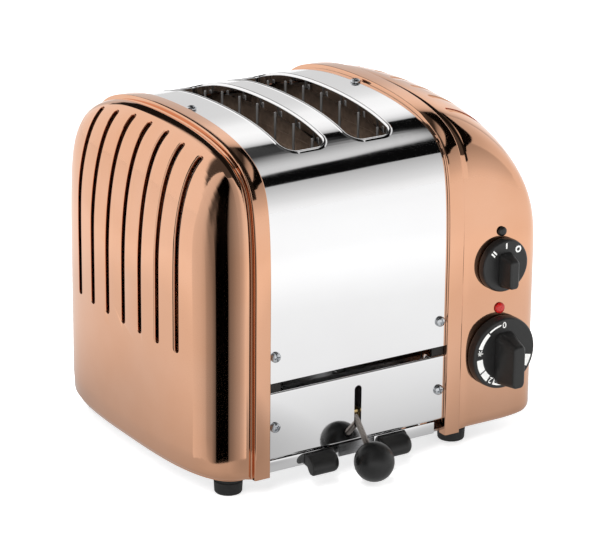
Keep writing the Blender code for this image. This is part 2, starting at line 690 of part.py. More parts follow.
reach_tip = sqrt((TIP_Z - PIVOT_Z) ** 2 + (TIP_Y - PIVOT_Y) ** 2)
arm_outline = [(-89.6, 37.3), (-89.6, 44.3), on_arm(-30, 3.2), on_arm(-10, 6.5),
               on_arm(0, 7.5), on_arm(10, 6.5), on_arm(20, 4.5), on_arm(reach_tip - 9, 4.5),
               on_arm(reach_tip - 6, 5.8), on_arm(reach_tip + 6, 5.8),
               on_arm(reach_tip + 6, 2.5), on_arm(reach_tip - 3.5, 2.5),
               on_arm(reach_tip - 3.5, -2.5), on_arm(reach_tip + 6, -2.5),
               on_arm(reach_tip + 6, -5.8), on_arm(reach_tip - 6, -5.8),
               on_arm(reach_tip - 9, -4.5), on_arm(20, -4.5), on_arm(10, -6.5),
               on_arm(0, -7.5), on_arm(-10, -6.5), on_arm(-30, -3.2)]
arm = make_object("lever_arm", prism(arm_outline, 'X', MID_X - 1.5, MID_X + 1.5), STEEL,
                  origin=PIVOT)
arm_hole = rod((MID_X - 5, PIVOT_Y, PIVOT_Z), (MID_X + 5, PIVOT_Y, PIVOT_Z), 2.9, 16)
combine(arm, make_cutter("cut_arm_hole", arm_hole))

slope = atan2(ROD_CROSS_Z - BALL_Z, COVER_PLANE_Y - BALL_Y)
direction = Vector((0, cos(slope), sin(slope)))
ball_centre = Vector((MID_X, BALL_Y, BALL_Z))
cross_point = Vector((MID_X, COVER_PLANE_Y, ROD_CROSS_Z))
rod_end = cross_point + direction * 5.0
block = box(MID_X - 3.6, MID_X + 3.6, -96.0, -89.9, 35.8, 41.6)
block_piece = make_object("rod_block", block, BRASS, origin=PIVOT)
bore = rod(cross_point - direction * 6, rod_end + direction * GAP, ROD_R + GAP, 16)
combine(block_piece, make_cutter("cut_rod_bore", bore))
lever_rod = rod(ball_centre + direction * (BALL_R - 6), rod_end, ROD_R, 12)
make_object("lever_rod", lever_rod, STEEL, origin=PIVOT)

BALL_STEPS = 11
flat = 2.4 / BALL_R
profile = [(0, -BALL_R)]
for k in range(1, BALL_STEPS):
    a = -pi / 2 + (pi - flat) * k / (BALL_STEPS - 1)
    profile.append((BALL_R * cos(a), BALL_R * sin(a)))
top_height = profile[-1][1]
socket = ROD_R + GAP
profile += [(socket, top_height - 0.2), (socket, BALL_R - 6 - GAP),
            (0, BALL_R - 6 - GAP)]
ball = turned(profile, 22)
quat = direction.to_track_quat('Z', 'Y').to_matrix().to_4x4()
bmesh.ops.transform(ball, verts=ball.verts, matrix=Matrix.Translation(ball_centre) @ quat)
make_object("ball_knob", ball, BLACK, origin=PIVOT, smooth=50.0)


# ---- knobs and lamps -----------------------------------------------------------
def control_knob(name, z, radius, grip_width, grip_reach, grip_out):
    """Round skirt with a raised pointer bar and a spindle behind."""
    front = FACE_Y - GAP
    profile = [(0, 14.0), (3.0, 14.0), (3.0, 0.0), (radius, 0.0), (radius, -7.0),
               (radius - 1.4, -8.4), (0, -8.4)]
    knob = make_object(name, turned([(r, front + h) for r, h in profile[::-1]], 32, 'Y',
                                    (KNOB_X, 0, z)), BLACK,
                       origin=(KNOB_X, front, z))
    y0 = front - 8.2
    outline = rounded(KNOB_X - grip_width / 2, KNOB_X + grip_width / 2,
                      z - radius + 3.5, z + grip_reach, grip_width / 2 - 0.4, 4)
    bar = prism(outline, 'Y', y0 - grip_out, y0)
    tips = [v for v in bar.verts if v.co.y < y0 - 1]
    for v in tips:
        v.co.x = KNOB_X + (v.co.x - KNOB_X) * 0.62
        v.co.z = z + (v.co.z - z) * (0.74 if v.co.z > z else 0.9)
    combine(knob, make_cutter("guide_bar_" + name, bar), 'UNION')
    return knob


control_knob("timer_knob", TIMER_Z, TIMER_R, 15.0, 19.0, 15.0)
control_knob("selector_knob", SELECTOR_Z, SELECTOR_R, 12.0, 13.5, 12.0)

for name, z, cap, stem, mat in (("neon_lens", LENS_Z, 3.6, 2.5, RED),
                                ("index_stud", STUD_Z, 3.1, 2.0, BLACK)):
    high = FACE_Y - GAP
    profile = [(0, high - 1.8), (cap * 0.55, high - 1.6), (cap * 0.88, high - 0.9),
               (cap, high), (stem, high), (stem, high + 9), (0, high + 9)]
    lamp = turned(profile, 14, 'Y', (KNOB_X, 0, z))
    make_object(name, lamp, mat)


def control_body(name, z, half, depth):
    """Block behind the casting face with a bush and a bore for the knob spindle."""
    bush = FACE_Y + WALL + GAP + 0.2
    front = bush + 4.0
    bm = box(KNOB_X - half, KNOB_X + half, front, front + depth, z - half, z + half)
    body = make_object(name, bm, CERAMIC)
    neck = rod((KNOB_X, bush, z), (KNOB_X, front + 2, z), 6.0, 20)
    combine(body, make_cutter("guide_bush_" + name, neck), 'UNION')
    bore = rod((KNOB_X, bush - 1, z), (KNOB_X, bush + 13, z), 3.6, 16)
    combine(body, make_cutter("cut_bore_" + name, bore))


control_body("timer_body", TIMER_Z, 19.0, 30.0)
control_body("selector_switch", SELECTOR_Z, 13.0, 24.0)

# ---- electrical pieces at the control end --------------------------------------
xs = [52.0, 56.0, 62.0, 66.0, 72.0, 76.0, 82.0, 86.0]
terminal = cells(xs, [58.0, 61.0, 67.0, 70.0], [BASE_HIGH_Z + GAP, 20.0, 29.0],
                 lambda i, j, k: not (k == 1 and j == 1 and i % 2 == 1))
make_object("terminal_block", terminal, CERAMIC)

back = HALF_DEPTH - BODY_INSET
gland_profile = [(4.0, back - 8), (6.1, back - 8), (6.1, back + GAP), (9.0, back + GAP),
                 (9.0, back + 4), (7.0, back + 5), (6.4, GLAND_Y - 1), (5.4, GLAND_Y),
                 (4.0, GLAND_Y)]
gland = turned(gland_profile + gland_profile[:1], 16, 'Y', (KNOB_X, 0, GLAND_Z))
bmesh.ops.remove_doubles(gland, verts=gland.verts, dist=0.01)
make_object("cable_gland", gland, BLACK)

# ---- screws --------------------------------------------------------------------
SCREW_PROFILE = [(0, -6.0), (1.3, -6.0), (1.3, 0.15), (3.3, 0.15), (3.3, 0.9),
                 (2.4, 1.9), (0, 2.2)]


def screw(name, place):
    """Pan head screw whose head looks along the local +Z of place."""
    bm = turned(SCREW_PROFILE, 12)
    bmesh.ops.transform(bm, verts=bm.verts, matrix=place)
    make_object(name, bm, ZINC)


to_front = Matrix.Rotation(pi / 2, 4, 'X')
to_back = Matrix.Rotation(-pi / 2, 4, 'X')
for side, x in zip(("left", "right"), SCREW_XS):
    screw(f"screw_top_{side}", Matrix.Translation((x, 0, COVER_TOP_Z + 0.15)))
    for row, z in (("cover", COVER_SCREW_Z), ("panel", PANEL_SCREW_Z)):
        y = -COVER_PLANE_Y + 0.15
        screw(f"screw_front_{row}_{side}", Matrix.Translation((x, -y, z)) @ to_front)
        screw(f"screw_back_{row}_{side}", Matrix.Translation((x, y, z)) @ to_back)
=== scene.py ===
"""Looks of a two-slot pop up toaster with copper ends, a bright arched cover and a ball lever.

Shapes are modelled in millimetres about the middle of the cover, with +X to the
control end, -Y to the front and +Z up, and are put in the shared frame when done.
"""
import logging
import math
from dataclasses import dataclass, field
from enum import Enum
from typing import Callable, ClassVar, Sequence

import bmesh
import bpy
from mathutils import Matrix, Vector


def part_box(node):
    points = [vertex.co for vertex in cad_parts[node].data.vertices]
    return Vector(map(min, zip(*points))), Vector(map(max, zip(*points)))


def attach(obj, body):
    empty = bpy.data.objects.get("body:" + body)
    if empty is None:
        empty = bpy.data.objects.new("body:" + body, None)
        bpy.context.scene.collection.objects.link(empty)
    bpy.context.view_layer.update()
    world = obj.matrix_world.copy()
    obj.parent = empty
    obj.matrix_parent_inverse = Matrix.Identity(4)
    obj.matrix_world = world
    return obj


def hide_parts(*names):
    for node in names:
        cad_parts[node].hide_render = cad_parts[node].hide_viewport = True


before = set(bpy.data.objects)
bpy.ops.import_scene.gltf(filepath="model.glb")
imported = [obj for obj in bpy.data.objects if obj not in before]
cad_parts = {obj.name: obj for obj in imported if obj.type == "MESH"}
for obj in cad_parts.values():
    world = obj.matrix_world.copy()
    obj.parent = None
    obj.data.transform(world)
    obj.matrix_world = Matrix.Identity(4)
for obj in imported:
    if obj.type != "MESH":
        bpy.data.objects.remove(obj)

LOG = logging.getLogger("toaster")
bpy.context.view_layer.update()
MM = 0.001
Point = tuple[float, float, float]
Pair = tuple[float, float]
Socket = bpy.types.NodeSocket
Piece = bpy.types.Object


def middle_of(node: str) -> Vector:
    """Middle of a CAD node's box in millimetres of the shared frame."""
    low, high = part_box(node)
    return (low + high) / 2 / MM


SHIFT_Y = middle_of("main_cover").y
MERGE = 0.002
CONTROL_X, FACE_Y = 84.5, -98.9
TIMER_Z, SELECTOR_Z, LENS_Z, STUD_Z, GLAND_Z = 61.0, 118.4, 89.2, 139.6, 36.0
SHEET_LEFT, SHEET_RIGHT = -83.7, 43.7
FORWARD = Matrix.Rotation(math.pi / 2, 4, "X")
BACKWARD = Matrix.Rotation(-math.pi / 2, 4, "X")


class Part(Enum):
    """What a selection is made of."""

    VERT = "VERT"
    EDGE = "EDGE"
    FACE = "FACE"


class Body(Enum):
    """Moving bodies of the toaster."""

    BODY = "body"
    LEVER = "lever"
    CARRIAGE = "carriage"
    TIMER = "timer"
    SELECTOR = "selector"
    TRAY_LEFT = "tray_left"
    TRAY_RIGHT = "tray_right"


# ---- modelling bench -----------------------------------------------------------------
class Bench:
    """Hand tools that shape one piece at a time, in millimetres."""

    @staticmethod
    def tidy() -> None:
        """Leave edit mode and let go of every piece."""
        active = bpy.context.view_layer.objects.active
        if active is not None and active.mode != "OBJECT":
            bpy.ops.object.mode_set(mode="OBJECT")
        bpy.ops.object.select_all(action="DESELECT")

    @staticmethod
    def hold(*objs: Piece) -> None:
        """Select these pieces alone; the first one is active.

        Args:
            objs: Pieces to select.
        """
        Bench.tidy()
        for obj in objs:
            obj.select_set(True)
        bpy.context.view_layer.objects.active = objs[0]

    @staticmethod
    def adopt(name: str) -> Piece:
        """Name the new primitive and settle its place and size into its mesh.

        Args:
            name: Name of the new piece.

        Returns:
            The piece.
        """
        obj = bpy.context.view_layer.objects.active
        obj.name = obj.data.name = name
        bpy.ops.object.transform_apply(location=True, rotation=True, scale=True)
        return obj

    @staticmethod
    def cube(name: str, low: Point, high: Point) -> Piece:
        """Add a box between two corners.

        Args:
            name: Name of the new piece.
            low: Lowest corner.
            high: Highest corner.

        Returns:
            The new piece, with its place in its mesh.
        """
        Bench.tidy()
        middle = [(a + b) / 2 for a, b in zip(low, high)]
        bpy.ops.mesh.primitive_cube_add(size=1.0, location=middle)
        obj = bpy.context.view_layer.objects.active
        obj.scale = [b - a for a, b in zip(low, high)]
        return Bench.adopt(name)

    @staticmethod
    def rod(name: str, start: Point, end: Point, radius: float, count: int = 24) -> Piece:
        """Add a round bar between two points.

        Args:
            name: Name of the new piece.
            start: Middle of one end.
            end: Middle of the other end.
            radius: Radius of the bar.
            count: Number of sides.

        Returns:
            The new piece.
        """
        Bench.tidy()
        a, b = Vector(start), Vector(end)
        bpy.ops.mesh.primitive_cylinder_add(
            vertices=count, radius=radius, depth=(b - a).length, location=(a + b) / 2,
            rotation=(b - a).to_track_quat("Z", "Y").to_euler())
        return Bench.adopt(name)

    @staticmethod
    def edit(obj: Piece, kind: Part) -> None:
        """Open a piece in edit mode with nothing selected.

        Args:
            obj: Piece to work on.
            kind: Kind of element, node or modifier.
        """
        Bench.hold(obj)
        bpy.ops.object.mode_set(mode="EDIT")
        bpy.ops.mesh.select_mode(type=kind.value)
        bpy.ops.mesh.select_all(action="DESELECT")

    @staticmethod
    def pick(obj: Piece, kind: Part, test: Callable) -> int:
        """Open a piece in edit mode and select what passes a test.

        Args:
            obj: Piece to work on.
            kind: Vertices, edges or faces.
            test: Takes the element and its middle, and says whether to select it.

        Returns:
            How many elements were selected.
        """
        Bench.edit(obj, kind)
        bm = bmesh.from_edit_mesh(obj.data)
        found = {Part.VERT: bm.verts, Part.EDGE: bm.edges, Part.FACE: bm.faces}[kind]
        count = 0
        for item in found:
            if kind is Part.VERT:
                middle = item.co
            else:
                middle = sum((v.co for v in item.verts), Vector()) / len(item.verts)
            if test(item, middle):
                item.select_set(True)
                count += 1
        bmesh.update_edit_mesh(obj.data)
        return count

    @staticmethod
    def extrude(step: Sequence[float]) -> None:
        """Extrude the selection by a step."""
        bpy.ops.mesh.extrude_region_move(TRANSFORM_OT_translate={"value": tuple(step)})

    @staticmethod
    def mend(obj: Piece, merge: float = 0.0) -> None:
        """Turn every face outward, after merging close points where a distance is given.

        Args:
            obj: Piece to work on.
            merge: Distance within which points merge.
        """
        Bench.edit(obj, Part.VERT)
        bpy.ops.mesh.select_all(action="SELECT")
        if merge:
            bpy.ops.mesh.remove_doubles(threshold=merge)
        bpy.ops.mesh.normals_make_consistent(inside=False)
        Bench.tidy()

    @staticmethod
    def round_block(obj: Piece, axis: int, width: float, segments: int) -> None:
        """Round the long edges of a block that run along one axis.

        Args:
            obj: Piece to work on.
            axis: Axis that the edges run along, 0 to 2.
            width: Width of the rounding.
            segments: Facets across the rounding.
        """
        Bench.pick(obj, Part.EDGE,
                   lambda e, m: abs(e.verts[0].co[axis] - e.verts[1].co[axis]) > 1)
        bpy.ops.mesh.bevel(offset=width, segments=segments, affect="EDGES")
        Bench.tidy()

    @staticmethod
    def shape(obj: Piece, kind: str, **settings) -> Piece:
        """Add a modifier with these settings and apply it.

        Args:
            obj: Piece to work on.
            kind: Kind of element, node or modifier.
            settings: Settings by name.

        Returns:
            The piece.
        """
        Bench.hold(obj)
        mod = obj.modifiers.new(kind.lower(), kind)
        for key, value in settings.items():
            setattr(mod, key, value)
        bpy.ops.object.modifier_apply(modifier=mod.name)
        return obj

    @staticmethod
    def cut(obj: Piece, *cutters: Piece, how: str = "DIFFERENCE") -> None:
        """Cut a piece with others, or add the others to it.

        Args:
            obj: Piece to work on.
            how: Boolean operation.
            cutters: Pieces that are used up.
        """
        for cutter in cutters:
            Bench.shape(obj, "BOOLEAN", operation=how, solver="EXACT", object=cutter)
            mesh = cutter.data
            bpy.data.objects.remove(cutter, do_unlink=True)
            bpy.data.meshes.remove(mesh)

    @staticmethod
    def bevel(obj: Piece, width: float, segments: int = 2, angle: float = 35.0) -> None:
        """Round every edge sharper than an angle."""
        Bench.shape(obj, "BEVEL", width=width, segments=segments, limit_method="ANGLE",
                    angle_limit=math.radians(angle), use_clamp_overlap=True)

    @staticmethod
    def join(obj: Piece, *others: Piece) -> Piece:
        """Join other pieces into the first.

        Args:
            obj: Piece to work on.
            others: Pieces that are used up.

        Returns:
            The piece.
        """
        Bench.hold(obj, *others)
        bpy.ops.object.join()
        return obj

    @staticmethod
    def copy(obj: Piece, name: str, turn: Matrix) -> Piece:
        """Copy a piece with its own mesh and move the copy's mesh by a matrix.

        Args:
            obj: Piece to work on.
            name: Name of the new piece.
            turn: Matrix for the copy.

        Returns:
            The piece.
        """
        made = obj.copy()
        made.data = obj.data.copy()
        made.name = made.data.name = name
        bpy.context.scene.collection.objects.link(made)
        made.data.transform(turn)
        return made

    @staticmethod
    def lathe(name: str, profile: Sequence[Pair], steps: int = 48, place: Matrix = Matrix(),
              closed: bool = False) -> Piece:
        """Turn a profile about the Z axis.

        Args:
            name: Name of the new piece.
            profile: (radius, height) points, drawn on as one line.
            steps: Number of steps round the axis.
            place: Where the turned shape is put afterwards.
            closed: True for a ring whose profile closes on itself.

        Returns:
            The turned piece with its poles merged and its faces outward.
        """
        Bench.tidy()
        line = list(profile) + ([profile[0]] if closed else [])
        radius, height = line[0]
        bpy.ops.mesh.primitive_plane_add(size=0.2, location=(radius, 0, height))
        obj = Bench.adopt(name)
        Bench.edit(obj, Part.VERT)
        bpy.ops.mesh.select_all(action="SELECT")
        bpy.ops.mesh.merge(type="CENTER")
        for (r0, h0), (r1, h1) in zip(line, line[1:]):
            Bench.extrude((r1 - r0, 0, h1 - h0))
        bpy.ops.mesh.select_all(action="SELECT")
        bpy.ops.mesh.spin(steps=steps, angle=2 * math.pi, center=(0, 0, 0), axis=(0, 0, 1))
        Bench.mend(obj, MERGE)
        obj.data.transform(place)
        return obj

    @staticmethod
    def strip(name: str, x0: float, x1: float, path: Sequence[Pair]) -> Piece:
        """Draw a sheet of constant width along a (y, z) path by extruding its end edge.

        Args:
            name: Name of the new piece.
            x0: Left end.
            x1: Right end.
            path: (y, z) points of the sheet.

        Returns:
            The piece.
        """
        Bench.tidy()
        bpy.ops.mesh.primitive_plane_add(size=1.0)
        obj = Bench.adopt(name)
        (ya, za), (yb, zb) = path[0], path[1]
        for vert in obj.data.vertices:
            x = x0 if vert.co.x < 0 else x1
            vert.co = (x, ya, za) if vert.co.y < 0 else (x, yb, zb)
        last = Vector((0, yb, zb))
        Bench.pick(obj, Part.EDGE, lambda e, m: all(
            abs(v.co.y - last.y) + abs(v.co.z - last.z) < 1e-4 for v in e.verts))
        for (ya, za), (yb, zb) in zip(path[1:], path[2:]):
            Bench.extrude((0, yb - ya, zb - za))
        Bench.tidy()
        return obj

    @staticmethod
    def loft(name: str, rings: Sequence[Sequence[Point]], caps: bool = True,
             around: bool = True) -> Piece:
        """Skin a row of rings that have the same number of points.

        Args:
            name: Name of the new piece.
            rings: Closed rings, in order.
            caps: True closes the first and last ring with a face.
            around: False leaves each ring open.

        Returns:
            The skinned piece.
        """
        bm = bmesh.new()
        rows = [[bm.verts.new(p) for p in ring] for ring in rings]
        count = len(rows[0])
        for low, high in zip(rows, rows[1:]):
            for k in range(count if around else count - 1):
                j = (k + 1) % count
                bm.faces.new((low[k], low[j], high[j], high[k]))
        if caps:
            bm.faces.new(rows[0][::-1])
            bm.faces.new(rows[-1])
        bmesh.ops.recalc_face_normals(bm, faces=bm.faces)
        return Bench.from_bmesh(name, bm)

    @staticmethod
    def from_bmesh(name: str, bm: bmesh.types.BMesh) -> Piece:
        """Make a piece of a bmesh and let the bmesh go.

        Args:
            name: Name of the new piece.
            bm: Mesh to take over.

        Returns:
            The piece.
        """
        mesh = bpy.data.meshes.new(name)
        bm.to_mesh(mesh)
        bm.free()
        obj = bpy.data.objects.new(name, mesh)
        bpy.context.scene.collection.objects.link(obj)
        return obj

    @staticmethod
    def softened(node: str, width: float, segments: int = 2) -> Piece:
        """Copy a CAD node, merge it to real faces and break its sharp edges.

        Args:
            node: Name of the CAD node.
            width: Width of the broken edges in millimetres.
            segments: Facets across a broken edge.

        Returns:
            The new piece in the middle's millimetres, ready to be dressed.
        """
        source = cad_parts[node]
        made = bpy.data.objects.new(node + "_fine", source.data.copy())
        made.data.name = made.name
        made.data.materials.clear()
        bpy.context.scene.collection.objects.link(made)
        made.data.transform(Matrix.Translation((0, -SHIFT_Y, 0)) @ Matrix.Scale(1 / MM, 4))
        Bench.edit(made, Part.VERT)
        bpy.ops.mesh.select_all(action="SELECT")
        bpy.ops.mesh.customdata_custom_splitnormals_clear()
        bpy.ops.mesh.remove_doubles(threshold=MERGE)
        bpy.ops.mesh.dissolve_limited(angle_limit=math.radians(0.5))
        Bench.tidy()
        Bench.bevel(made, width, segments)
        return made


def dress(obj: Piece, body: Body, finish: "Finish", slot: str, *nodes: str,
          smooth: float = 32.0, inner: "Finish | None" = None, flat: bool = False) -> Piece:
    """Put a finished piece in the shared frame, give it its material and tie it to its body.

    Args:
        obj: Piece in the middle's millimetres.
        body: Body it moves with.
        finish: Finish it is dressed in.
        slot: Material slot of the record it answers to; not used.
        nodes: CAD nodes it stands for.
        smooth: Edges sharper than this stay sharp, in degrees.
        inner: Finish of faces whose material index is 1, where there are any.
        flat: True keeps the light even on wide flat faces beside small rounds.

    Returns:
        The same piece.
    """
    obj.data.transform(Matrix.Translation((0, SHIFT_Y * MM, 0)) @ Matrix.Scale(MM, 4))
    Bench.hold(obj)
    bpy.ops.object.shade_smooth_by_angle(angle=math.radians(smooth))
    if flat:
        Bench.shape(obj, "WEIGHTED_NORMAL", keep_sharp=True, weight=90)
    obj.data.materials.clear()
    obj.data.materials.append(finish.material())
    if inner is not None:
        obj.data.materials.append(inner.material())
    Bench.tidy()
    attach(obj, body.value)
    if nodes:
        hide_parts(*nodes)
    LOG.info("made %s with %d faces", obj.name, len(obj.data.polygons))
    return obj


# ---- finishes ------------------------------------------------------------------------
class Graph:
    """Shader nodes of one tree."""

    def __init__(self, tree: bpy.types.NodeTree) -> None:
        """Work on this tree."""
        self.tree = tree

    def new(self, kind: str, **settings: str) -> bpy.types.Node:
        """Add a shader node with these settings.

        Args:
            kind: Kind of element, node or modifier.
            settings: Settings by name.

        Returns:
            The node.
        """
        node = self.tree.nodes.new("ShaderNode" + kind)
        for key, value in settings.items():
            setattr(node, key, value)
        return node

    def link(self, one: Socket, two: Socket) -> None:
        """Link two sockets."""
        self.tree.links.new(one, two)

    def calc(self, kind: str, *values: Socket | float) -> Socket:
        """One arithmetic node on sockets or numbers.

        Args:
            kind: Kind of element, node or modifier.
            values: Sockets or numbers.

        Returns:
            The result.
        """
        node = self.new("Math", operation=kind)
        for k, value in enumerate(values):
            if isinstance(value, (int, float)):
                node.inputs[k].default_value = value
            else:
                self.link(value, node.inputs[k])
        return node.outputs[0]

    def spread(self, value: Socket, start: float, end: float, low: float = 0.0,
               high: float = 1.0, curve: str = "LINEAR") -> Socket:
        """Take start..end of a value to low..high.

        Args:
            value: Value to map.
            start: Where it starts.
            end: Where it ends.
            low: Lower limit.
            high: Upper limit.
            curve: Interpolation.

        Returns:
            The result.
        """
        node = self.new("MapRange", interpolation_type=curve)
        numbers = {"From Min": start, "From Max": end, "To Min": low, "To Max": high}
        for key, number in numbers.items():
            node.inputs[key].default_value = number
        self.link(value, node.inputs["Value"])
        return node.outputs["Result"]


class Nodes(Graph):
    """Shader graph of one material, built from the object's own coordinates."""

    def __init__(self, name: str) -> None:
        """Start an empty Principled material.

        Args:
            name: Name of the new piece.
        """
        self.mat = bpy.data.materials.new(name)
        self.mat.use_nodes = True
        super().__init__(self.mat.node_tree)
        self.shader = self.tree.nodes["Principled BSDF"]
        self.place = self.new("TexCoord").outputs["Object"]

    def set(self, **values: float | tuple) -> None:
        """Set plain numbers and colours on the shader, with _ for a space in a name."""
        for key, value in values.items():
            self.shader.inputs[key.replace("_", " ")].default_value = value

    def to(self, name: str, socket: Socket) -> None:
        """Link a socket to one of the shader's inputs."""
        self.link(socket, self.shader.inputs[name])

    def texture(self, kind: str, stretch: Point, out: str, **numbers: float) -> Socket:
        """Pattern in object space, multiplied along each axis; its scale is in cycles per metre.

        Args:
            kind: Kind of element, node or modifier.
            stretch: Scale along each axis.
            out: Output to read.
            numbers: Inputs by name.

        Returns:
            The pattern.
        """
        mapping, node = self.new("Mapping"), self.new(kind)
        mapping.inputs["Scale"].default_value = stretch
        self.link(self.place, mapping.inputs["Vector"])
        self.link(mapping.outputs["Vector"], node.inputs["Vector"])
        for key, number in numbers.items():
            node.inputs[key].default_value = number
        return node.outputs[out]

    def noise(self, scale: float, detail: float = 3.0, rough: float = 0.55,
              stretch: Point = (1, 1, 1)) -> Socket:
        """Cloudy noise."""
        return self.texture("TexNoise", stretch, "Fac", Scale=scale, Detail=detail, Roughness=rough)

    def voronoi(self, scale: float, stretch: Point = (1, 1, 1)) -> Socket:
        """Distance to the middle of a cell."""
        return self.texture("TexVoronoi", stretch, "Distance", Scale=scale)

    def remap(self, value: Socket, low: float, high: float,
              start: float = 0.3, end: float = 0.7) -> Socket:
        """Take start..end of a value to low..high."""
        return self.spread(value, start, end, low, high)

    def blend(self, fac: Socket, one: tuple, two: tuple) -> Socket:
        """Colour between two colours.

        Args:
            fac: Share of the second colour.
            one: First of the two.
            two: Second of the two.

        Returns:
            The colour.
        """
        node = self.new("Mix", data_type="RGBA")
        node.inputs[6].default_value = (*one, 1.0)
        node.inputs[7].default_value = (*two, 1.0)
        self.link(fac, node.inputs[0])
        return node.outputs[2]

    def bump(self, height: Socket, distance: float, strength: float = 1.0) -> None:
        """Raise the surface by a height times a distance in metres.

        Args:
            height: Socket of the height.
            distance: Height in metres.
            strength: Share of the bump.
        """
        node = self.new("Bump")
        node.inputs["Distance"].default_value = distance
        node.inputs["Strength"].default_value = strength
        self.link(height, node.inputs["Height"])
        self.to("Normal", node.outputs["Normal"])


@dataclass(frozen=True)
class Finish:
    """A named surface finish with one material that pieces share."""

    name: str

    def material(self) -> bpy.types.Material:
        """The finish's material, made the first time it is asked for.

        Returns:
            The material.
        """
        found = bpy.data.materials.get(self.name)
        if found is None:
            nodes = Nodes(self.name)
            self.build(nodes)
            found = nodes.mat
        return found

    def build(self, nodes: Nodes) -> None:
        """Fill in the shader graph."""
        raise NotImplementedError


@dataclass(frozen=True)
class Plated(Finish):
    """Mirror plating: even colour, a faint haze and the slow wave of polished sheet."""

    colour: tuple = (0.745, 0.395, 0.24)
    haze: tuple = (0.78, 0.445, 0.295)
    rough_low: float = 0.045
    rough_high: float = 0.085
    wave: float = 0.0008

    def build(self, nodes: Nodes) -> None:
        """Haze patches, fine wiping marks and a slow wave."""
        cloud = nodes.noise(14.0, 3.0)
        wipe = nodes.noise(260.0, 4.0, 0.6, (1.0, 1.0, 0.12))
        nodes.to("Base Color", nodes.blend(nodes.remap(cloud, 0.0, 1.0), self.colour, self.haze))
        rough = nodes.calc("ADD", nodes.remap(cloud, self.rough_low, self.rough_high),
                           nodes.remap(wipe, 0.0, 0.02, 0.5, 0.75))
        nodes.to("Roughness", rough)
        nodes.set(Metallic=1.0)
        nodes.bump(nodes.noise(9.0, 1.0), self.wave)


@dataclass(frozen=True)
class Brushed(Finish):
    """Sheet or bar metal with fine drawn lines along one axis."""

    colour: tuple = (0.56, 0.56, 0.57)
    dark: tuple = (0.40, 0.40, 0.41)
    rough: float = 0.32
    along: Point = (0.06, 1.0, 1.0)
    metallic: float = 1.0

    def build(self, nodes: Nodes) -> None:
        """Drawn lines in colour, gloss and height."""
        lines = nodes.noise(2600.0, 3.0, 0.6, self.along)
        stain = nodes.noise(38.0, 4.0)
        share = nodes.remap(stain, 0.0, 1.0, 0.35, 0.75)
        nodes.to("Base Color", nodes.blend(share, self.colour, self.dark))
        nodes.to("Roughness", nodes.remap(lines, self.rough - 0.08, self.rough + 0.12))
        nodes.set(Metallic=self.metallic)
        nodes.bump(lines, 0.00001, 0.5)


@dataclass(frozen=True)
class Moulded(Finish):
    """Moulded plastic, rubber or ceramic with a fine grain."""

    colour: tuple = (0.018, 0.017, 0.017)
    worn: tuple = (0.035, 0.033, 0.032)
    rough: float = 0.38
    grain: float = 3200.0
    depth: float = 0.00002

    def build(self, nodes: Nodes) -> None:
        """Grain, slight gloss changes and handled patches."""
        grain = nodes.noise(self.grain, 2.0)
        patch = nodes.noise(70.0, 4.0)
        share = nodes.remap(patch, 0.0, 1.0, 0.4, 0.8)
        nodes.to("Base Color", nodes.blend(share, self.colour, self.worn))
        nodes.to("Roughness", nodes.remap(patch, self.rough - 0.05, self.rough + 0.09))
        nodes.set(Metallic=0.0)
        nodes.bump(grain, self.depth, 0.6)


@dataclass(frozen=True)
class Mica(Finish):
    """Brown mica board: flaky layers, scorched patches and a soft gloss."""

    def build(self, nodes: Nodes) -> None:
        """Flakes in colour and gloss, with a scorched cloud over them."""
        flakes = nodes.voronoi(320.0)
        cloud = nodes.noise(32.0, 5.0)
        both = nodes.calc("MULTIPLY", nodes.remap(flakes, 0.35, 1.0, 0.0, 0.8),
                          nodes.remap(cloud, 0.3, 1.2))
        nodes.to("Base Color", nodes.blend(both, (0.10, 0.064, 0.046), (0.30, 0.215, 0.16)))
        nodes.to("Roughness", nodes.remap(flakes, 0.28, 0.52, 0.0, 0.8))
        nodes.set(Metallic=0.0)
        nodes.bump(flakes, 0.00006, 0.5)


@dataclass(frozen=True)
class RedLens(Finish):
    """Moulded red lamp lens."""

    def build(self, nodes: Nodes) -> None:
        """Clear red with a cloudy core."""
        cloud = nodes.noise(420.0, 3.0)
        share = nodes.remap(cloud, 0.0, 1.0)
        nodes.to("Base Color", nodes.blend(share, (0.36, 0.008, 0.008), (0.52, 0.018, 0.014)))
        nodes.to("Roughness", nodes.remap(cloud, 0.10, 0.18))
        nodes.set(Metallic=0.0, Coat_Weight=0.15, Coat_Roughness=0.05)
        nodes.bump(nodes.noise(900.0, 1.0), 0.00003, 0.6)


@dataclass(frozen=True)
class Print(Finish):
    """White printed ink, a little uneven."""

    def build(self, nodes: Nodes) -> None:
        """Ink with pin-prick gaps."""
        speck = nodes.noise(5200.0, 3.0)
        share = nodes.remap(speck, 0.0, 1.0, 0.3, 0.5)
        nodes.to("Base Color", nodes.blend(share, (0.66, 0.66, 0.64), (0.86, 0.86, 0.84)))
        nodes.to("Roughness", nodes.remap(speck, 0.45, 0.6))
        nodes.set(Metallic=0.0)


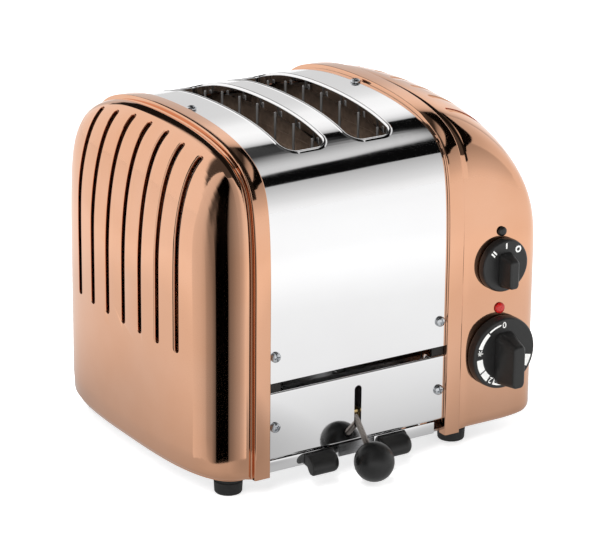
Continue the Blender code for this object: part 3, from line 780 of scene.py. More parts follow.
COPPER = Plated("copper_plating")
CHROME = Plated("bright_plating", (0.88, 0.875, 0.88), (0.90, 0.90, 0.905), 0.035, 0.07,
                0.0004)
# Dark inside of the casting; the same finish is painted shade in the groove by the rim flange.
INSIDE_AND_PAINTED_SHADE = Brushed("casting_inside_and_painted_shade", (0.060, 0.026, 0.014), (0.030, 0.014, 0.008), 0.5, (1, 1, 1), 0.6)
STEEL = Brushed("drawn_steel")
SHAFT = Brushed("turned_steel", (0.60, 0.60, 0.61), (0.46, 0.46, 0.47), 0.26, (1.0, 1.0, 0.05))
WIRE = Brushed("plain_wire", (0.26, 0.255, 0.25), (0.17, 0.165, 0.16), 0.34, (1, 1, 0.08), 0.55)
ROD_STEEL = Brushed("threaded_steel", (0.42, 0.38, 0.35), (0.28, 0.25, 0.23), 0.30, (1, 1, 1))
ZINC = Brushed("bright_zinc", (0.66, 0.68, 0.70), (0.50, 0.52, 0.55), 0.20, (1, 1, 1))
RAW_BRASS = Brushed("sawn_brass", (0.70, 0.52, 0.24), (0.50, 0.35, 0.15), 0.30, (1, 0.1, 1))
RIBBON = Brushed("heater_strip", (0.05, 0.045, 0.042), (0.025, 0.022, 0.02), 0.42, (1, 0.05, 1),
                 0.6)
SATIN_BLACK = Moulded("satin_black", (0.006, 0.006, 0.006), (0.012, 0.0115, 0.011), 0.32)
KNOB_BLACK = Moulded("knob_black", (0.0075, 0.0075, 0.0075), (0.014, 0.0135, 0.013), 0.36)
BALL_BLACK = Moulded("ball_black", (0.004, 0.004, 0.004), (0.008, 0.008, 0.008), 0.30)
RUBBER = Moulded("foot_rubber", (0.009, 0.009, 0.009), (0.018, 0.018, 0.018), 0.72, 1500.0, 0.00005)
CERAMIC = Moulded("cream_ceramic", (0.66, 0.60, 0.50), (0.74, 0.69, 0.60), 0.48, 1800.0, 0.00004)
MICA = Mica("mica_board")
LENS = RedLens("lamp_lens")
INK = Print("dial_ink")
# Arch frames that show in the gaps are made near black.
FRAME = Brushed("dark_frame_finish", (0.045, 0.043, 0.042), (0.022, 0.021, 0.020), 0.5, (1, 0.06, 1), 0.8)


# ---- outline shared by the cover and the castings ------------------------------------
def bezier(points: Sequence[Pair], t: float) -> Pair:
    """Point on a cubic curve through four control points.

    Args:
        points: Control points.
        t: Place along the curve, 0 to 1.

    Returns:
        The point.
    """
    s = 1 - t
    weights = (s ** 3, 3 * s * s * t, 3 * s * t * t, t ** 3)
    return (sum(w * p[0] for w, p in zip(weights, points)),
            sum(w * p[1] for w, p in zip(weights, points)))


@dataclass(frozen=True)
class Arch:
    """Front-to-back outline of the toaster, from the foot over the crest."""

    half_depth: float = 101.0
    steps: int = 26
    lean: tuple = ((0.0, 125.0), (0.0, 185.0), (6.1, 194.1), (13.2, 201.2))
    crown: tuple = ((13.2, 201.2), (20.0, 208.0), (40.0, 220.0), (101.0, 220.0))

    def line(self, offset: float, rows: Sequence[float]) -> list[Pair]:
        """Outline moved inward.

        Args:
            offset: Distance inward from the flange surface.
            rows: Heights of the points on the straight lower part, lowest first.

        Returns:
            (y, z) points from the front foot over the crest to the back foot.
        """
        curve = [bezier(self.lean, (k + 1) / self.steps) for k in range(self.steps)]
        curve += [bezier(self.crown, (k + 1) / self.steps) for k in range(self.steps)]
        half = [(-self.half_depth, z) for z in rows] + [(-self.half_depth, 125.0)]
        half += [(-self.half_depth + inset, z) for inset, z in curve]
        moved = []
        for k, (y, z) in enumerate(half):
            if k <= len(rows):
                moved.append((y + offset, z))
            elif k == len(half) - 1:
                moved.append((0.0, z - offset))
            else:
                (ya, za), (yb, zb) = half[k - 1], half[k + 1]
                length = math.hypot(yb - ya, zb - za)
                moved.append((y + offset * (zb - za) / length, z - offset * (yb - ya) / length))
        return moved + [(-y, z) for y, z in reversed(moved[:-1])]

    def height(self, offset: float, y: float) -> float:
        """Height of the moved outline above a depth.

        Args:
            offset: Distance inward from the flange surface.
            y: Depth from the middle.

        Returns:
            The height.
        """
        line = [p for p in self.line(offset, (110.0,)) if p[0] <= 0.001]
        depth = -abs(y)
        for (ya, za), (yb, zb) in zip(line, line[1:]):
            if ya <= depth <= yb and yb > ya:
                return za + (zb - za) * (depth - ya) / (yb - ya)
        return line[-1][1]


ARCH = Arch()


def arc(centre: Pair, radius: float, start: float, end: float, count: int) -> list[Pair]:
    """Points on a circle between two angles in degrees."""
    turns = [math.radians(start + (end - start) * k / count) for k in range(count + 1)]
    return [(centre[0] + radius * math.cos(a), centre[1] + radius * math.sin(a)) for a in turns]


# ---- end castings --------------------------------------------------------------------
@dataclass
class EndCasting:
    """Hollow copper end with a proud rim flange and seven upright vents."""

    name: str
    node: str
    edge_x: float
    side: int
    reach: float
    bow: float
    side_power: float
    top_power: float
    vent_end: float
    pad: float = 0.0
    flange_width: float = 11.0
    inset: float = 2.4
    groove: float = 1.5
    wall: float = 3.0
    foot_z: float = 12.5
    foot_round: float = 4.5
    centre_z: float = 118.0
    vent_pitch: float = 20.1
    vent_width: float = 4.6
    vent_low: float = 88.0
    vent_count: int = 7
    edge_round: float = 0.7
    step: float = 1.5
    groove_level: float = 0.09
    tuck_level: float = 0.12
    lip_wall: float = 6.3
    pad_edge: float = 86.0
    pad_low: float = 18.5
    pad_corner: float = 12.0
    pad_soft: float = 5.0
    vent_depth: float = 8.0
    vent_steps: int = 44
    # Outer rows by the flange's foot that take the dark finish as painted shade in the groove.
    painted_shade_rows: tuple = (-4, 1)
    first_levels: tuple = (0.0, 0.01, 0.022, 0.036, 0.052, 0.07, 0.09)
    last_level: float = 0.9985
    fine_level: float = 0.94
    level_gaps: Pair = (0.006, 0.0008)
    levels_count: int = 24
    rows: tuple = (12.5, 12.9, 13.8, 15.2, 17.0, 19.5, 23.0, 28.0, 40.0, 60.0, 80.0, 100.0, 114.0)
    levels: list = field(default_factory=list)

    def __post_init__(self) -> None:
        """Choose levels that follow both the side and the top roundings."""
        marks = set(self.first_levels)
        for power in (self.side_power, self.top_power):
            for k in range(1, self.levels_count):
                marks.add(math.sin(math.pi / 2 * k / self.levels_count) ** (2 / power))
        kept = [0.0]
        for mark in sorted(marks):
            least = self.level_gaps[mark > self.fine_level]
            if mark - kept[-1] > least and mark < self.last_level:
                kept.append(mark)
        self.levels = kept

    def shrink(self, level: float, power: float) -> float:
        """How far a ring has closed at a level, from 1 to 0."""
        return max(0.0, 1.0 - level ** power) ** (1.0 / power)

    def out_at(self, level: float, y: float, wall: float) -> float:
        """Distance of the surface beyond the cover's edge at a level and depth.

        Args:
            level: How far out the ring is, 0 to 1.
            y: Depth from the middle.
            wall: Wall thickness, or 0 for the outside.

        Returns:
            The distance.
        """
        half = ARCH.half_depth - self.inset - wall
        bulge = self.bow * (1 - (y / half) ** 2)
        return self.flange_width + self.step + (self.reach - wall + bulge) * level

    def pad_at(self, level: float, y: float, z: float) -> float:
        """Height of the raised pressing on the end face.

        Args:
            level: How far out the ring is, 0 to 1.
            y: Depth from the middle.
            z: Height above the table.

        Returns:
            The height.
        """
        if not self.pad:
            return 0.0
        dy = max(0.0, abs(y) - (self.pad_edge - self.pad_corner))
        dz = max(0.0, self.pad_low + self.pad_corner - z)
        inside = (self.pad_corner - math.hypot(dy, dz)) / self.pad_soft
        inside = max(0.0, min(1.0, inside))
        return self.pad * inside * inside * (3 - 2 * inside) * min(1.0, level * 1.6)

    def ring(self, level: float, wall: float) -> list[Point]:
        """One ring of the outer surface, or of the inner one where wall is set.

        Args:
            level: How far out the ring is, 0 to 1.
            wall: Wall thickness, or 0 for the outside.

        Returns:
            Points of the ring.
        """
        groove = 0.0 if wall else self.groove * max(0.0, 1 - level / self.groove_level) ** 2
        half = ARCH.half_depth - self.inset - wall
        ky, kz = self.shrink(level, self.side_power), self.shrink(level, self.top_power)
        gx = level ** (self.side_power - 1) / self.reach
        gy = ky ** (self.side_power - 1) / half
        size = math.hypot(gx, gy) or 1.0
        lift = min(1.0, level / self.tuck_level)
        points = []
        for y, z in ARCH.line(self.inset + wall + groove, self.rows):
            yy = ky * y
            zz = self.centre_z + kz * (z - self.centre_z) if z > self.centre_z else z
            out = self.out_at(level, yy, wall)
            if not wall:
                out += self.pad_at(level, yy, zz) - self.pad
                drop = max(0.0, self.foot_round - (zz - self.foot_z))
                tuck = lift * (self.foot_round - math.sqrt(self.foot_round ** 2 - drop ** 2))
                out -= tuck * gx / size
                yy -= math.copysign(tuck * gy / size, y) if abs(y) > 1e-6 else 0.0
            points.append((self.edge_x + self.side * out, yy, zz))
        return points

    def flange(self) -> list[Pair]:
        """(out, inset) section of the rim, from the cover's side to the body.

        Returns:
            Points of the section.
        """
        w = self.flange_width
        near = [(1.0 + x, 1.0 - y) for x, y in arc((0, 0), 1.0, 180, 90, 5)]
        far = [(w - 0.9 + x, 0.9 - y) for x, y in arc((0, 0), 0.9, 90, 0, 5)]
        foot = [(w + 1.0 - x, 2.7 + y) for x, y in arc((0, 0), 1.0, 0, 80, 5)]
        return near + far + foot

    def shell(self) -> Piece:
        """Closed skin of the casting; inner faces and painted-shade groove rows have material index
        1.

        Returns:
            The piece.
        """
        outer = [[(self.edge_x + self.side * out, y, z) for y, z in ARCH.line(inset, self.rows)]
                 for out, inset in self.flange()]
        flange_count = len(outer)
        inner = []
        for k in range(flange_count):
            part = k / flange_count
            out = (self.flange_width + self.step) * part
            offset = self.lip_wall + (self.inset + self.wall - self.lip_wall) * part
            inner.append([(self.edge_x + self.side * out, y, z)
                          for y, z in ARCH.line(offset, self.rows)])
        outer += [self.ring(level, 0.0) for level in self.levels]
        inner += [self.ring(level, self.wall) for level in self.levels]
        bm = bmesh.new()
        skins = []
        for rings, wall, index in ((outer, 0.0, 0), (inner, self.wall, 1)):
            rows = [[bm.verts.new(p) for p in ring] for ring in rings]
            for row, (low, high) in enumerate(zip(rows, rows[1:])):
                # Rows by the flange's foot get index 1: a dark line of painted shade in the groove.
                first, last = self.painted_shade_rows
                painted_shade = not wall and first <= row - flange_count <= last
                for k in range(len(low) - 1):
                    face = bm.faces.new((low[k], low[k + 1], high[k + 1], high[k]))
                    face.material_index = 1 if painted_shade else index
            spine: dict[float, bmesh.types.BMVert] = {}
            line = []
            for x, _, z in self.ring(1.0, wall):
                if round(z, 3) not in spine:
                    spine[round(z, 3)] = bm.verts.new((x, 0.0, z))
                line.append(spine[round(z, 3)])
            ends = rows[-1]
            for k in range(len(ends) - 1):
                corners = [ends[k], ends[k + 1], line[k + 1], line[k]]
                unique = [v for n, v in enumerate(corners) if v not in corners[:n]]
                bm.faces.new(unique).material_index = index
            skins.append((rows, line[0]))
        (rows_out, foot_out), (rows_in, foot_in) = skins
        for k in range(len(rows_out[0]) - 1):
            bm.faces.new((rows_out[0][k], rows_out[0][k + 1],
                          rows_in[0][k + 1], rows_in[0][k]))
        for end in (0, -1):
            path_out = [row[end] for row in rows_out] + [foot_out]
            path_in = [row[end] for row in rows_in] + [foot_in]
            for k in range(len(path_out) - 1):
                bm.faces.new((path_out[k], path_out[k + 1], path_in[k + 1], path_in[k]))
        bmesh.ops.recalc_face_normals(bm, faces=bm.faces)
        return Bench.from_bmesh(self.name, bm)

    def vent_path(self, y: float) -> list[Pair]:
        """Line of one vent on the outer surface, as (x, z) from its top end down.

        Args:
            y: Depth from the middle.

        Returns:
            The line.
        """
        half = ARCH.half_depth - self.inset
        crest = [p for p in ARCH.line(self.inset, (110.0,)) if p[0] <= 0.001]
        marks: list[Pair] = []
        if abs(y) < 0.01:
            for k in range(61):
                level = math.sin(math.pi / 2 * k / 60) ** (2 / self.top_power)
                marks.append((level, crest[-1][1]))
        else:
            for ya, za in crest:
                if abs(ya) >= abs(y) and za > 125.0:
                    ky = abs(y) / abs(ya)
                    marks.append((self.shrink(ky, self.side_power), za))
            limit = self.shrink(abs(y) / half, self.side_power)
            for k in range(1, 40):
                level = limit * math.sin(math.pi / 2 * k / 40)
                ya = abs(y) / self.shrink(level, self.side_power)
                marks.append((level, ARCH.height(self.inset, ya)))
            marks.append((limit, 125.0))
        path = []
        for level, za in sorted(marks, key=lambda m: (m[0], -m[1])):
            z = self.centre_z + self.shrink(level, self.top_power) * (za - self.centre_z)
            out = self.out_at(level, y, 0.0) + self.pad_at(level, y, z) - self.pad
            path.append((self.edge_x + self.side * out, z))
        path.append((path[-1][0], self.vent_low))
        start = abs(self.vent_end - self.edge_x)
        return [p for p in path if abs(p[0] - self.edge_x) >= start]

    def vent_cutter(self, index: int) -> Piece:
        """Tool that cuts one vent with a rounded rim that follows the surface.

        Args:
            index: Number of the copy.

        Returns:
            The piece.
        """
        y = (index - self.vent_count // 2) * self.vent_pitch
        path = self.vent_path(y)
        runs = [0.0]
        for (xa, za), (xb, zb) in zip(path, path[1:]):
            runs.append(runs[-1] + math.hypot(xb - xa, zb - za))
        total, r = runs[-1], self.vent_width / 2
        ends = [0.02, 0.3, 0.8, 1.5, r]
        count = self.vent_steps
        spots = ends + [r + (total - 2 * r) * k / count for k in range(1, count)]
        spots += [total - end for end in reversed(ends)]
        rings = []
        for spot in spots:
            k = max(i for i, run in enumerate(runs) if run <= spot)
            k = min(k, len(path) - 2)
            t = (spot - runs[k]) / max(1e-9, runs[k + 1] - runs[k])
            (xa, za), (xb, zb) = path[k], path[k + 1]
            near_a, near_b = path[max(0, k - 1)], path[min(len(path) - 1, k + 2)]
            tx, tz = near_b[0] - near_a[0], near_b[1] - near_a[1]
            length = math.hypot(tx, tz)
            nx, nz = self.side * abs(tz) / length, abs(tx) / length
            x, z = xa + (xb - xa) * t, za + (zb - za) * t
            gap = min(spot, total - spot)
            half = r if gap >= r else math.sqrt(max(0.01, r * r - (r - gap) ** 2))
            c = self.edge_round
            rim = [(half + c - c * math.sin(a), -c + c * math.cos(a))
                   for a in (0.0, math.pi / 6, math.pi / 3, math.pi / 2)]
            section = [(half + c + 0.4, 0.6)] + rim + [(half, -self.vent_depth)]
            section = [(-h, n) for h, n in section] + section[::-1]
            rings.append([(x + nx * n, y + h, z + nz * n) for h, n in section])
        return Bench.loft(f"vent_tool_{index}", rings)

    def build(self, holes: Sequence[tuple[Point, Point, float]] = ()) -> Piece:
        """Model, cut and dress the casting.

        Args:
            holes: Round holes, each from a start to an end with a radius.

        Returns:
            The finished piece.
        """
        obj = self.shell()
        tools = [self.vent_cutter(k) for k in range(self.vent_count)]
        Bench.cut(obj, Bench.join(*tools))
        for k, (start, end, radius) in enumerate(holes):
            Bench.cut(obj, Bench.rod(f"hole_tool_{k}", start, end, radius, 32))
        # Index 1 is the dark inside and the painted shade in the groove by the flange.
        return dress(obj, Body.BODY, COPPER, "copper_plate", self.node, smooth=24.0, inner=INSIDE_AND_PAINTED_SHADE)


# ---- cover and panels ----------------------------------------------------------------
@dataclass
class Cover:
    """Bright arched sheet with two bread slots whose edges are turned down."""

    left: float = SHEET_LEFT
    right: float = SHEET_RIGHT
    offset: float = 2.5
    sheet: float = 1.0
    low_z: float = 72.0
    slot_centres: tuple = (-43.5, 3.5)
    slot_width: float = 29.0
    slot_length: float = 149.0
    slot_corner: float = 8.0
    lip_depth: float = 6.3
    corner_steps: int = 10
    side_step: float = 4.0
    tool_grow: float = 1.6

    def outline(self, x: float) -> list[Pair]:
        """Slot's plan outline, anticlockwise, as (x, y).

        Args:
            x: Middle of the slot.

        Returns:
            Points of the outline.
        """
        hw, hl, r = self.slot_width / 2, self.slot_length / 2, self.slot_corner
        points: list[Pair] = []
        for cx, cy, start in ((x + hw - r, hl - r, 0), (x - hw + r, hl - r, 90),
                              (x - hw + r, -hl + r, 180), (x + hw - r, -hl + r, 270)):
            points += arc((cx, cy), r, start, start + 90, self.corner_steps)
        dense: list[Pair] = []
        for a, b in zip(points, points[1:] + points[:1]):
            span = math.hypot(b[0] - a[0], b[1] - a[1])
            count = max(1, int(span / self.side_step))
            dense += [(a[0] + (b[0] - a[0]) * k / count, a[1] + (b[1] - a[1]) * k / count)
                      for k in range(count)]
        return dense

    def lip(self, index: int, x: float) -> Piece:
        """Turned-down rim of one slot, a closed ring of sheet.

        Args:
            index: Number of the copy.
            x: Middle of the slot.

        Returns:
            The piece.
        """
        deep = -self.lip_depth
        section = [(3.0, -0.04), (2.7, 0.12), (2.35, 0.36), (1.95, 0.52), (1.5, 0.58),
                   (1.05, 0.50), (0.62, 0.26), (0.3, -0.12), (0.1, -0.62), (0.0, -1.3),
                   (0.0, deep), (0.25, deep - 0.25), (0.65, deep - 0.25), (0.9, deep),
                   (0.9, -1.6), (1.6, -0.95), (3.0, -0.9)]
        base = self.outline(x)
        rings = []
        for grow, rise in section:
            spots = [self.spot(x, at, grow) for at in base]
            rings.append([(px, py, ARCH.height(self.offset, py) + rise) for px, py in spots])
        rings.append(rings[0])
        obj = Bench.loft(f"slot_lip_{index}", rings, caps=False)
        Bench.mend(obj, MERGE / 2)
        return obj

    def spot(self, x: float, at: Pair, grow: float) -> Pair:
        """Point of the slot's outline moved outward, square to the outline.

        Args:
            x: Middle of the slot.
            at: Point on the outline.
            grow: Distance outward.

        Returns:
            The moved point.
        """
        hw, hl, r = self.slot_width / 2, self.slot_length / 2, self.slot_corner
        cx = min(max(at[0], x - hw + r), x + hw - r)
        cy = min(max(at[1], -hl + r), hl - r)
        dx, dy = at[0] - cx, at[1] - cy
        length = math.hypot(dx, dy)
        return at[0] + grow * dx / length, at[1] + grow * dy / length

    def slot_tool(self, index: int, x: float) -> Piece:
        """Tool that opens one slot, with round upright corners.

        Args:
            index: Number of the copy.
            x: Middle of the slot.

        Returns:
            The piece.
        """
        grow = self.tool_grow
        hw, hl = self.slot_width / 2 + grow, self.slot_length / 2 + grow
        tool = Bench.cube(f"slot_tool_{index}", (x - hw, -hl, 150.0), (x + hw, hl, 240.0))
        Bench.round_block(tool, 2, self.slot_corner + grow, self.corner_steps)
        return tool

    def build(self) -> Piece:
        """Bend the sheet over the arch, open its slots and turn their edges down.

        Returns:
            The piece.
        """
        path = ARCH.line(self.offset, (self.low_z, 80.0, 95.0, 110.0))
        obj = Bench.strip("bright_cover", self.left, self.right, path)
        Bench.mend(obj)
        if obj.data.polygons[0].normal.y > 0:
            obj.data.flip_normals()
        Bench.shape(obj, "SOLIDIFY", thickness=self.sheet, offset=-1.0)
        for k, x in enumerate(self.slot_centres):
            Bench.cut(obj, self.slot_tool(k, x))
        Screws.drill(obj)
        lips = [self.lip(k, x) for k, x in enumerate(self.slot_centres)]
        Bench.join(obj, *lips)
        return dress(obj, Body.BODY, CHROME, "bright_steel", "main_cover", smooth=24.0, flat=True)


@dataclass
class LowerPanel:
    """Flat bright panel whose long edges are folded back."""

    name: str
    node: str
    front: bool
    left: float = SHEET_LEFT
    right: float = SHEET_RIGHT
    face_y: float = -98.5
    low_z: float = 22.7
    high_z: float = 66.0
    fold: float = 1.6
    depth: float = 7.0

    def build(self) -> Piece:
        """Fold the sheet, notch its returns, cut its openings and dress it.

        Returns:
            The piece.
        """
        f, y = self.fold, self.face_y
        path = [(y + self.depth, self.high_z)]
        path += arc((y + f, self.high_z - f), f, 90, 180, 5)
        path += arc((y + f, self.low_z + f), f, 180, 270, 5)
        path.append((y + self.depth, self.low_z))
        obj = Bench.strip(self.name, self.left, self.right, path)
        if not any(p.normal.y < -0.9 for p in obj.data.polygons):
            obj.data.flip_normals()
        Bench.shape(obj, "SOLIDIFY", thickness=1.0, offset=-1.0)
        for k, (a, b) in enumerate(((self.left - 1, -74.0), (34.0, self.right + 1))):
            Bench.cut(obj, Bench.cube(f"notch_{k}", (a, y + 1.35, 10.0), (b, y + 12.0, 80.0)))
        if self.front:
            slot = Bench.cube("lever_slot_tool", (-22.55, y - 5, 31.0), (-17.45, y + 3, 58.5))
            Bench.round_block(slot, 1, 2.5, 8)
            Bench.cut(obj, slot)
        Screws.drill(obj, Screws.panel_z)
        if not self.front:
            obj.data.transform(Matrix.Scale(-1.0, 4, (0, 1, 0)))
            obj.data.flip_normals()
        Bench.bevel(obj, 0.25, 2, 50.0)
        return dress(obj, Body.BODY, CHROME, "bright_steel", self.node, smooth=24.0, flat=True)


# ---- screws --------------------------------------------------------------------------
@dataclass
class Screws:
    """Pan head screws that hold the cover and the panels."""

    xs: ClassVar[Pair] = (-79.6, 39.6)
    cover_z: ClassVar[float] = 88.7
    panel_z: ClassVar[float] = 43.5
    hole_r: ClassVar[float] = 1.9
    top_z: float = 217.65
    plane_y: float = 98.65
    profile: tuple = ((0, -6.0), (1.3, -6.0), (1.3, 0.0), (3.1, 0.02), (3.3, 0.25), (3.28, 0.8),
                      (3.05, 1.25), (2.5, 1.7), (1.7, 2.02), (0.9, 2.17), (0, 2.2))

    @staticmethod
    def axes() -> list[tuple[Point, Point]]:
        """Start and end of every screw hole through the sheets.

        Returns:
            Pairs of ends or parts.
        """
        lines: list[tuple[Point, Point]] = []
        for x in Screws.xs:
            for z in (Screws.cover_z, Screws.panel_z):
                lines.append(((x, -105.0, z), (x, 105.0, z)))
            lines.append(((x, 0.0, 190.0), (x, 0.0, 225.0)))
        return lines

    @staticmethod
    def drill(sheet: Piece, *heights: float) -> None:
        """Cut the screw holes at these heights, or all of them, through a sheet.

        Args:
            sheet: Sheet to cut.
            heights: Heights wanted, or none for all.
        """
        for k, (start, end) in enumerate(Screws.axes()):
            if not heights or start[2] in heights:
                Bench.cut(sheet, Bench.rod(f"screw_tool_{k}", start, end, Screws.hole_r, 16))

    def model(self) -> Piece:
        """One screw at the origin, head up, with a crossed recess.

        Returns:
            The piece.
        """
        obj = Bench.lathe("screw_model", self.profile, 40)
        for k, turn in enumerate((0.0, math.pi / 2, math.pi / 4, 3 * math.pi / 4)):
            deep = 0.9 if k < 2 else 1.75
            half = (2.0, 0.42) if k < 2 else (1.5, 0.16)
            tool = Bench.cube(f"recess_{k}", (-half[0], -half[1], deep), (half[0], half[1], 4.0))
            tool.data.transform(Matrix.Rotation(turn, 4, "Z"))
            Bench.cut(obj, tool)
        return obj

    def build(self) -> None:
        """Copy the model to every hole."""
        model = self.model()
        places: dict[str, Matrix] = {}
        for side, x in zip(("left", "right"), self.xs):
            places[f"screw_top_{side}"] = Matrix.Translation((x, 0, self.top_z))
            for row, z in (("cover", self.cover_z), ("panel", self.panel_z)):
                y = self.plane_y
                places[f"screw_front_{row}_{side}"] = Matrix.Translation((x, -y, z)) @ FORWARD
                places[f"screw_back_{row}_{side}"] = Matrix.Translation((x, y, z)) @ BACKWARD
        for k, (node, place) in enumerate(sorted(places.items())):
            turn = Matrix.Rotation(0.5 + 1.1 * k, 4, "Z")
            screw = Bench.copy(model, node + "_fine", place @ turn)
            dress(screw, Body.BODY, ZINC, "zinc_screw", node, smooth=30.0)
        bpy.data.objects.remove(model, do_unlink=True)


# ---- controls ------------------------------------------------------------------------
@dataclass
class Knob:
    """Round skirt with a raised pointer bar and printed marks."""

    name: str
    node: str
    body: Body
    z: float
    radius: float
    bar_width: float
    bar_reach: float
    bar_out: float
    skirt: float
    print_z: float = 0.12

    def place(self) -> Matrix:
        """Where the knob sits, with local +Z looking out of the casting."""
        return Matrix.Translation((CONTROL_X, FACE_Y, self.z)) @ FORWARD

    def profile(self) -> list[Pair]:
        """Section of the spindle and skirt, with the height out of the casting.

        Returns:
            Points of the section.
        """
        r, s = self.radius, self.skirt
        rim = arc((r - 0.9, 0.9), 0.9, -90, 0, 3)
        shoulder = arc((r - 1.9, s - 1.7), 1.7, 20, 80, 5)
        dish = [(r - 2.2, s - 0.08), (r * 0.45, s - self.print_z), (0.0, s - self.print_z)]
        return [(0, -14), (2.7, -14), (3.0, -13.7), (3.0, 0.0)] + rim + [(r, 2.6)] + shoulder + dish

    def bar(self) -> Piece:
        """Pointer bar: a block with round upright ends, drawn in toward its front.

        Returns:
            The piece.
        """
        base, top = self.skirt - 0.6, self.skirt + self.bar_out - 0.2
        hw, low, high = self.bar_width / 2, -self.radius + 3.5, self.bar_reach
        obj = Bench.cube(self.name + "_bar", (-hw, low, base), (hw, high, top))
        Bench.round_block(obj, 2, hw * 0.62, 8)
        Bench.pick(obj, Part.VERT, lambda v, m: v.co.z > top - 0.1)
        bpy.ops.transform.resize(value=(0.56, 0.80, 1.0), center_override=(0.0, low * 0.55, top))
        Bench.tidy()
        Bench.bevel(obj, 1.3, 4, 50.0)
        return obj

    def build(self) -> Piece:
        """Turn the skirt, add the bar and dress the knob.

        Returns:
            The piece.
        """
        obj = Bench.lathe(self.name, self.profile(), 96)
        Bench.cut(obj, self.bar(), how="UNION")
        obj.data.transform(self.place())
        return dress(obj, self.body, KNOB_BLACK, "black_plastic", self.node, smooth=34.0, flat=True)

    def plate(self, name: str, r0: float, r1: float, start: float, end: float, lift: float = 0.02,
              r1_end: float | None = None) -> Piece:
        """Printed band between two radii and two angles, measured anticlockwise from the top.

        Args:
            name: Name of the new piece.
            r0: Inner radius.
            r1: Outer radius.
            start: Where it starts.
            end: Where it ends.
            lift: Height above the dial.
            r1_end: Outer radius at the end, where it differs.

        Returns:
            The piece.
        """
        last = r1 if r1_end is None else r1_end
        low = self.skirt - self.print_z
        high = low + lift + 0.1
        count = max(2, int(abs(end - start) / 3))
        bm = bmesh.new()
        rows = []
        for k in range(count + 1):
            t = k / count
            a = math.radians(start + (end - start) * t) + math.pi / 2
            outer = r1 + (last - r1) * t
            corners = ((r0, low), (outer, low), (outer, high), (r0, high))
            rows.append([bm.verts.new((r * math.cos(a), r * math.sin(a), z)) for r, z in corners])
        for near, far in zip(rows, rows[1:]):
            for k in range(4):
                j = (k + 1) % 4
                bm.faces.new((near[k], near[j], far[j], far[k]))
        bm.faces.new(rows[0][::-1])
        bm.faces.new(rows[-1])
        bmesh.ops.recalc_face_normals(bm, faces=bm.faces)
        return Bench.from_bmesh(name, bm)

    def letter(self, text: str, size: float, radius: float, angle: float,
               fat: float = 0.0) -> Piece:
        """Printed figure that stands upright at an angle round the dial.

        Args:
            text: Figure to print.
            size: Height of the figure.
            radius: Radius.
            angle: Angle in degrees.
            fat: Extra stroke width.

        Returns:
            The piece.
        """
        Bench.tidy()
        bpy.ops.object.text_add()
        obj = bpy.context.view_layer.objects.active
        obj.data.body = text
        obj.data.size = size
        obj.data.align_x = obj.data.align_y = "CENTER"
        obj.data.extrude = 0.06
        obj.data.offset = fat
        bpy.ops.object.convert(target="MESH")
        obj = bpy.context.view_layer.objects.active
        obj.data.transform(Matrix.Rotation(math.radians(angle), 4, "Z")
                           @ Matrix.Translation((0, radius, self.skirt - 0.04)))
        return obj

    def print_marks(self, name: str, marks: Sequence[Piece]) -> Piece:
        """Join marks to one printed piece on the dial.

        Args:
            name: Name of the new piece.
            marks: Printed pieces.

        Returns:
            The piece.
        """
        obj = Bench.join(marks[0], *marks[1:])
        obj.name = obj.data.name = name
        obj.data.transform(self.place())
        return dress(obj, self.body, INK, "black_plastic", smooth=30.0)


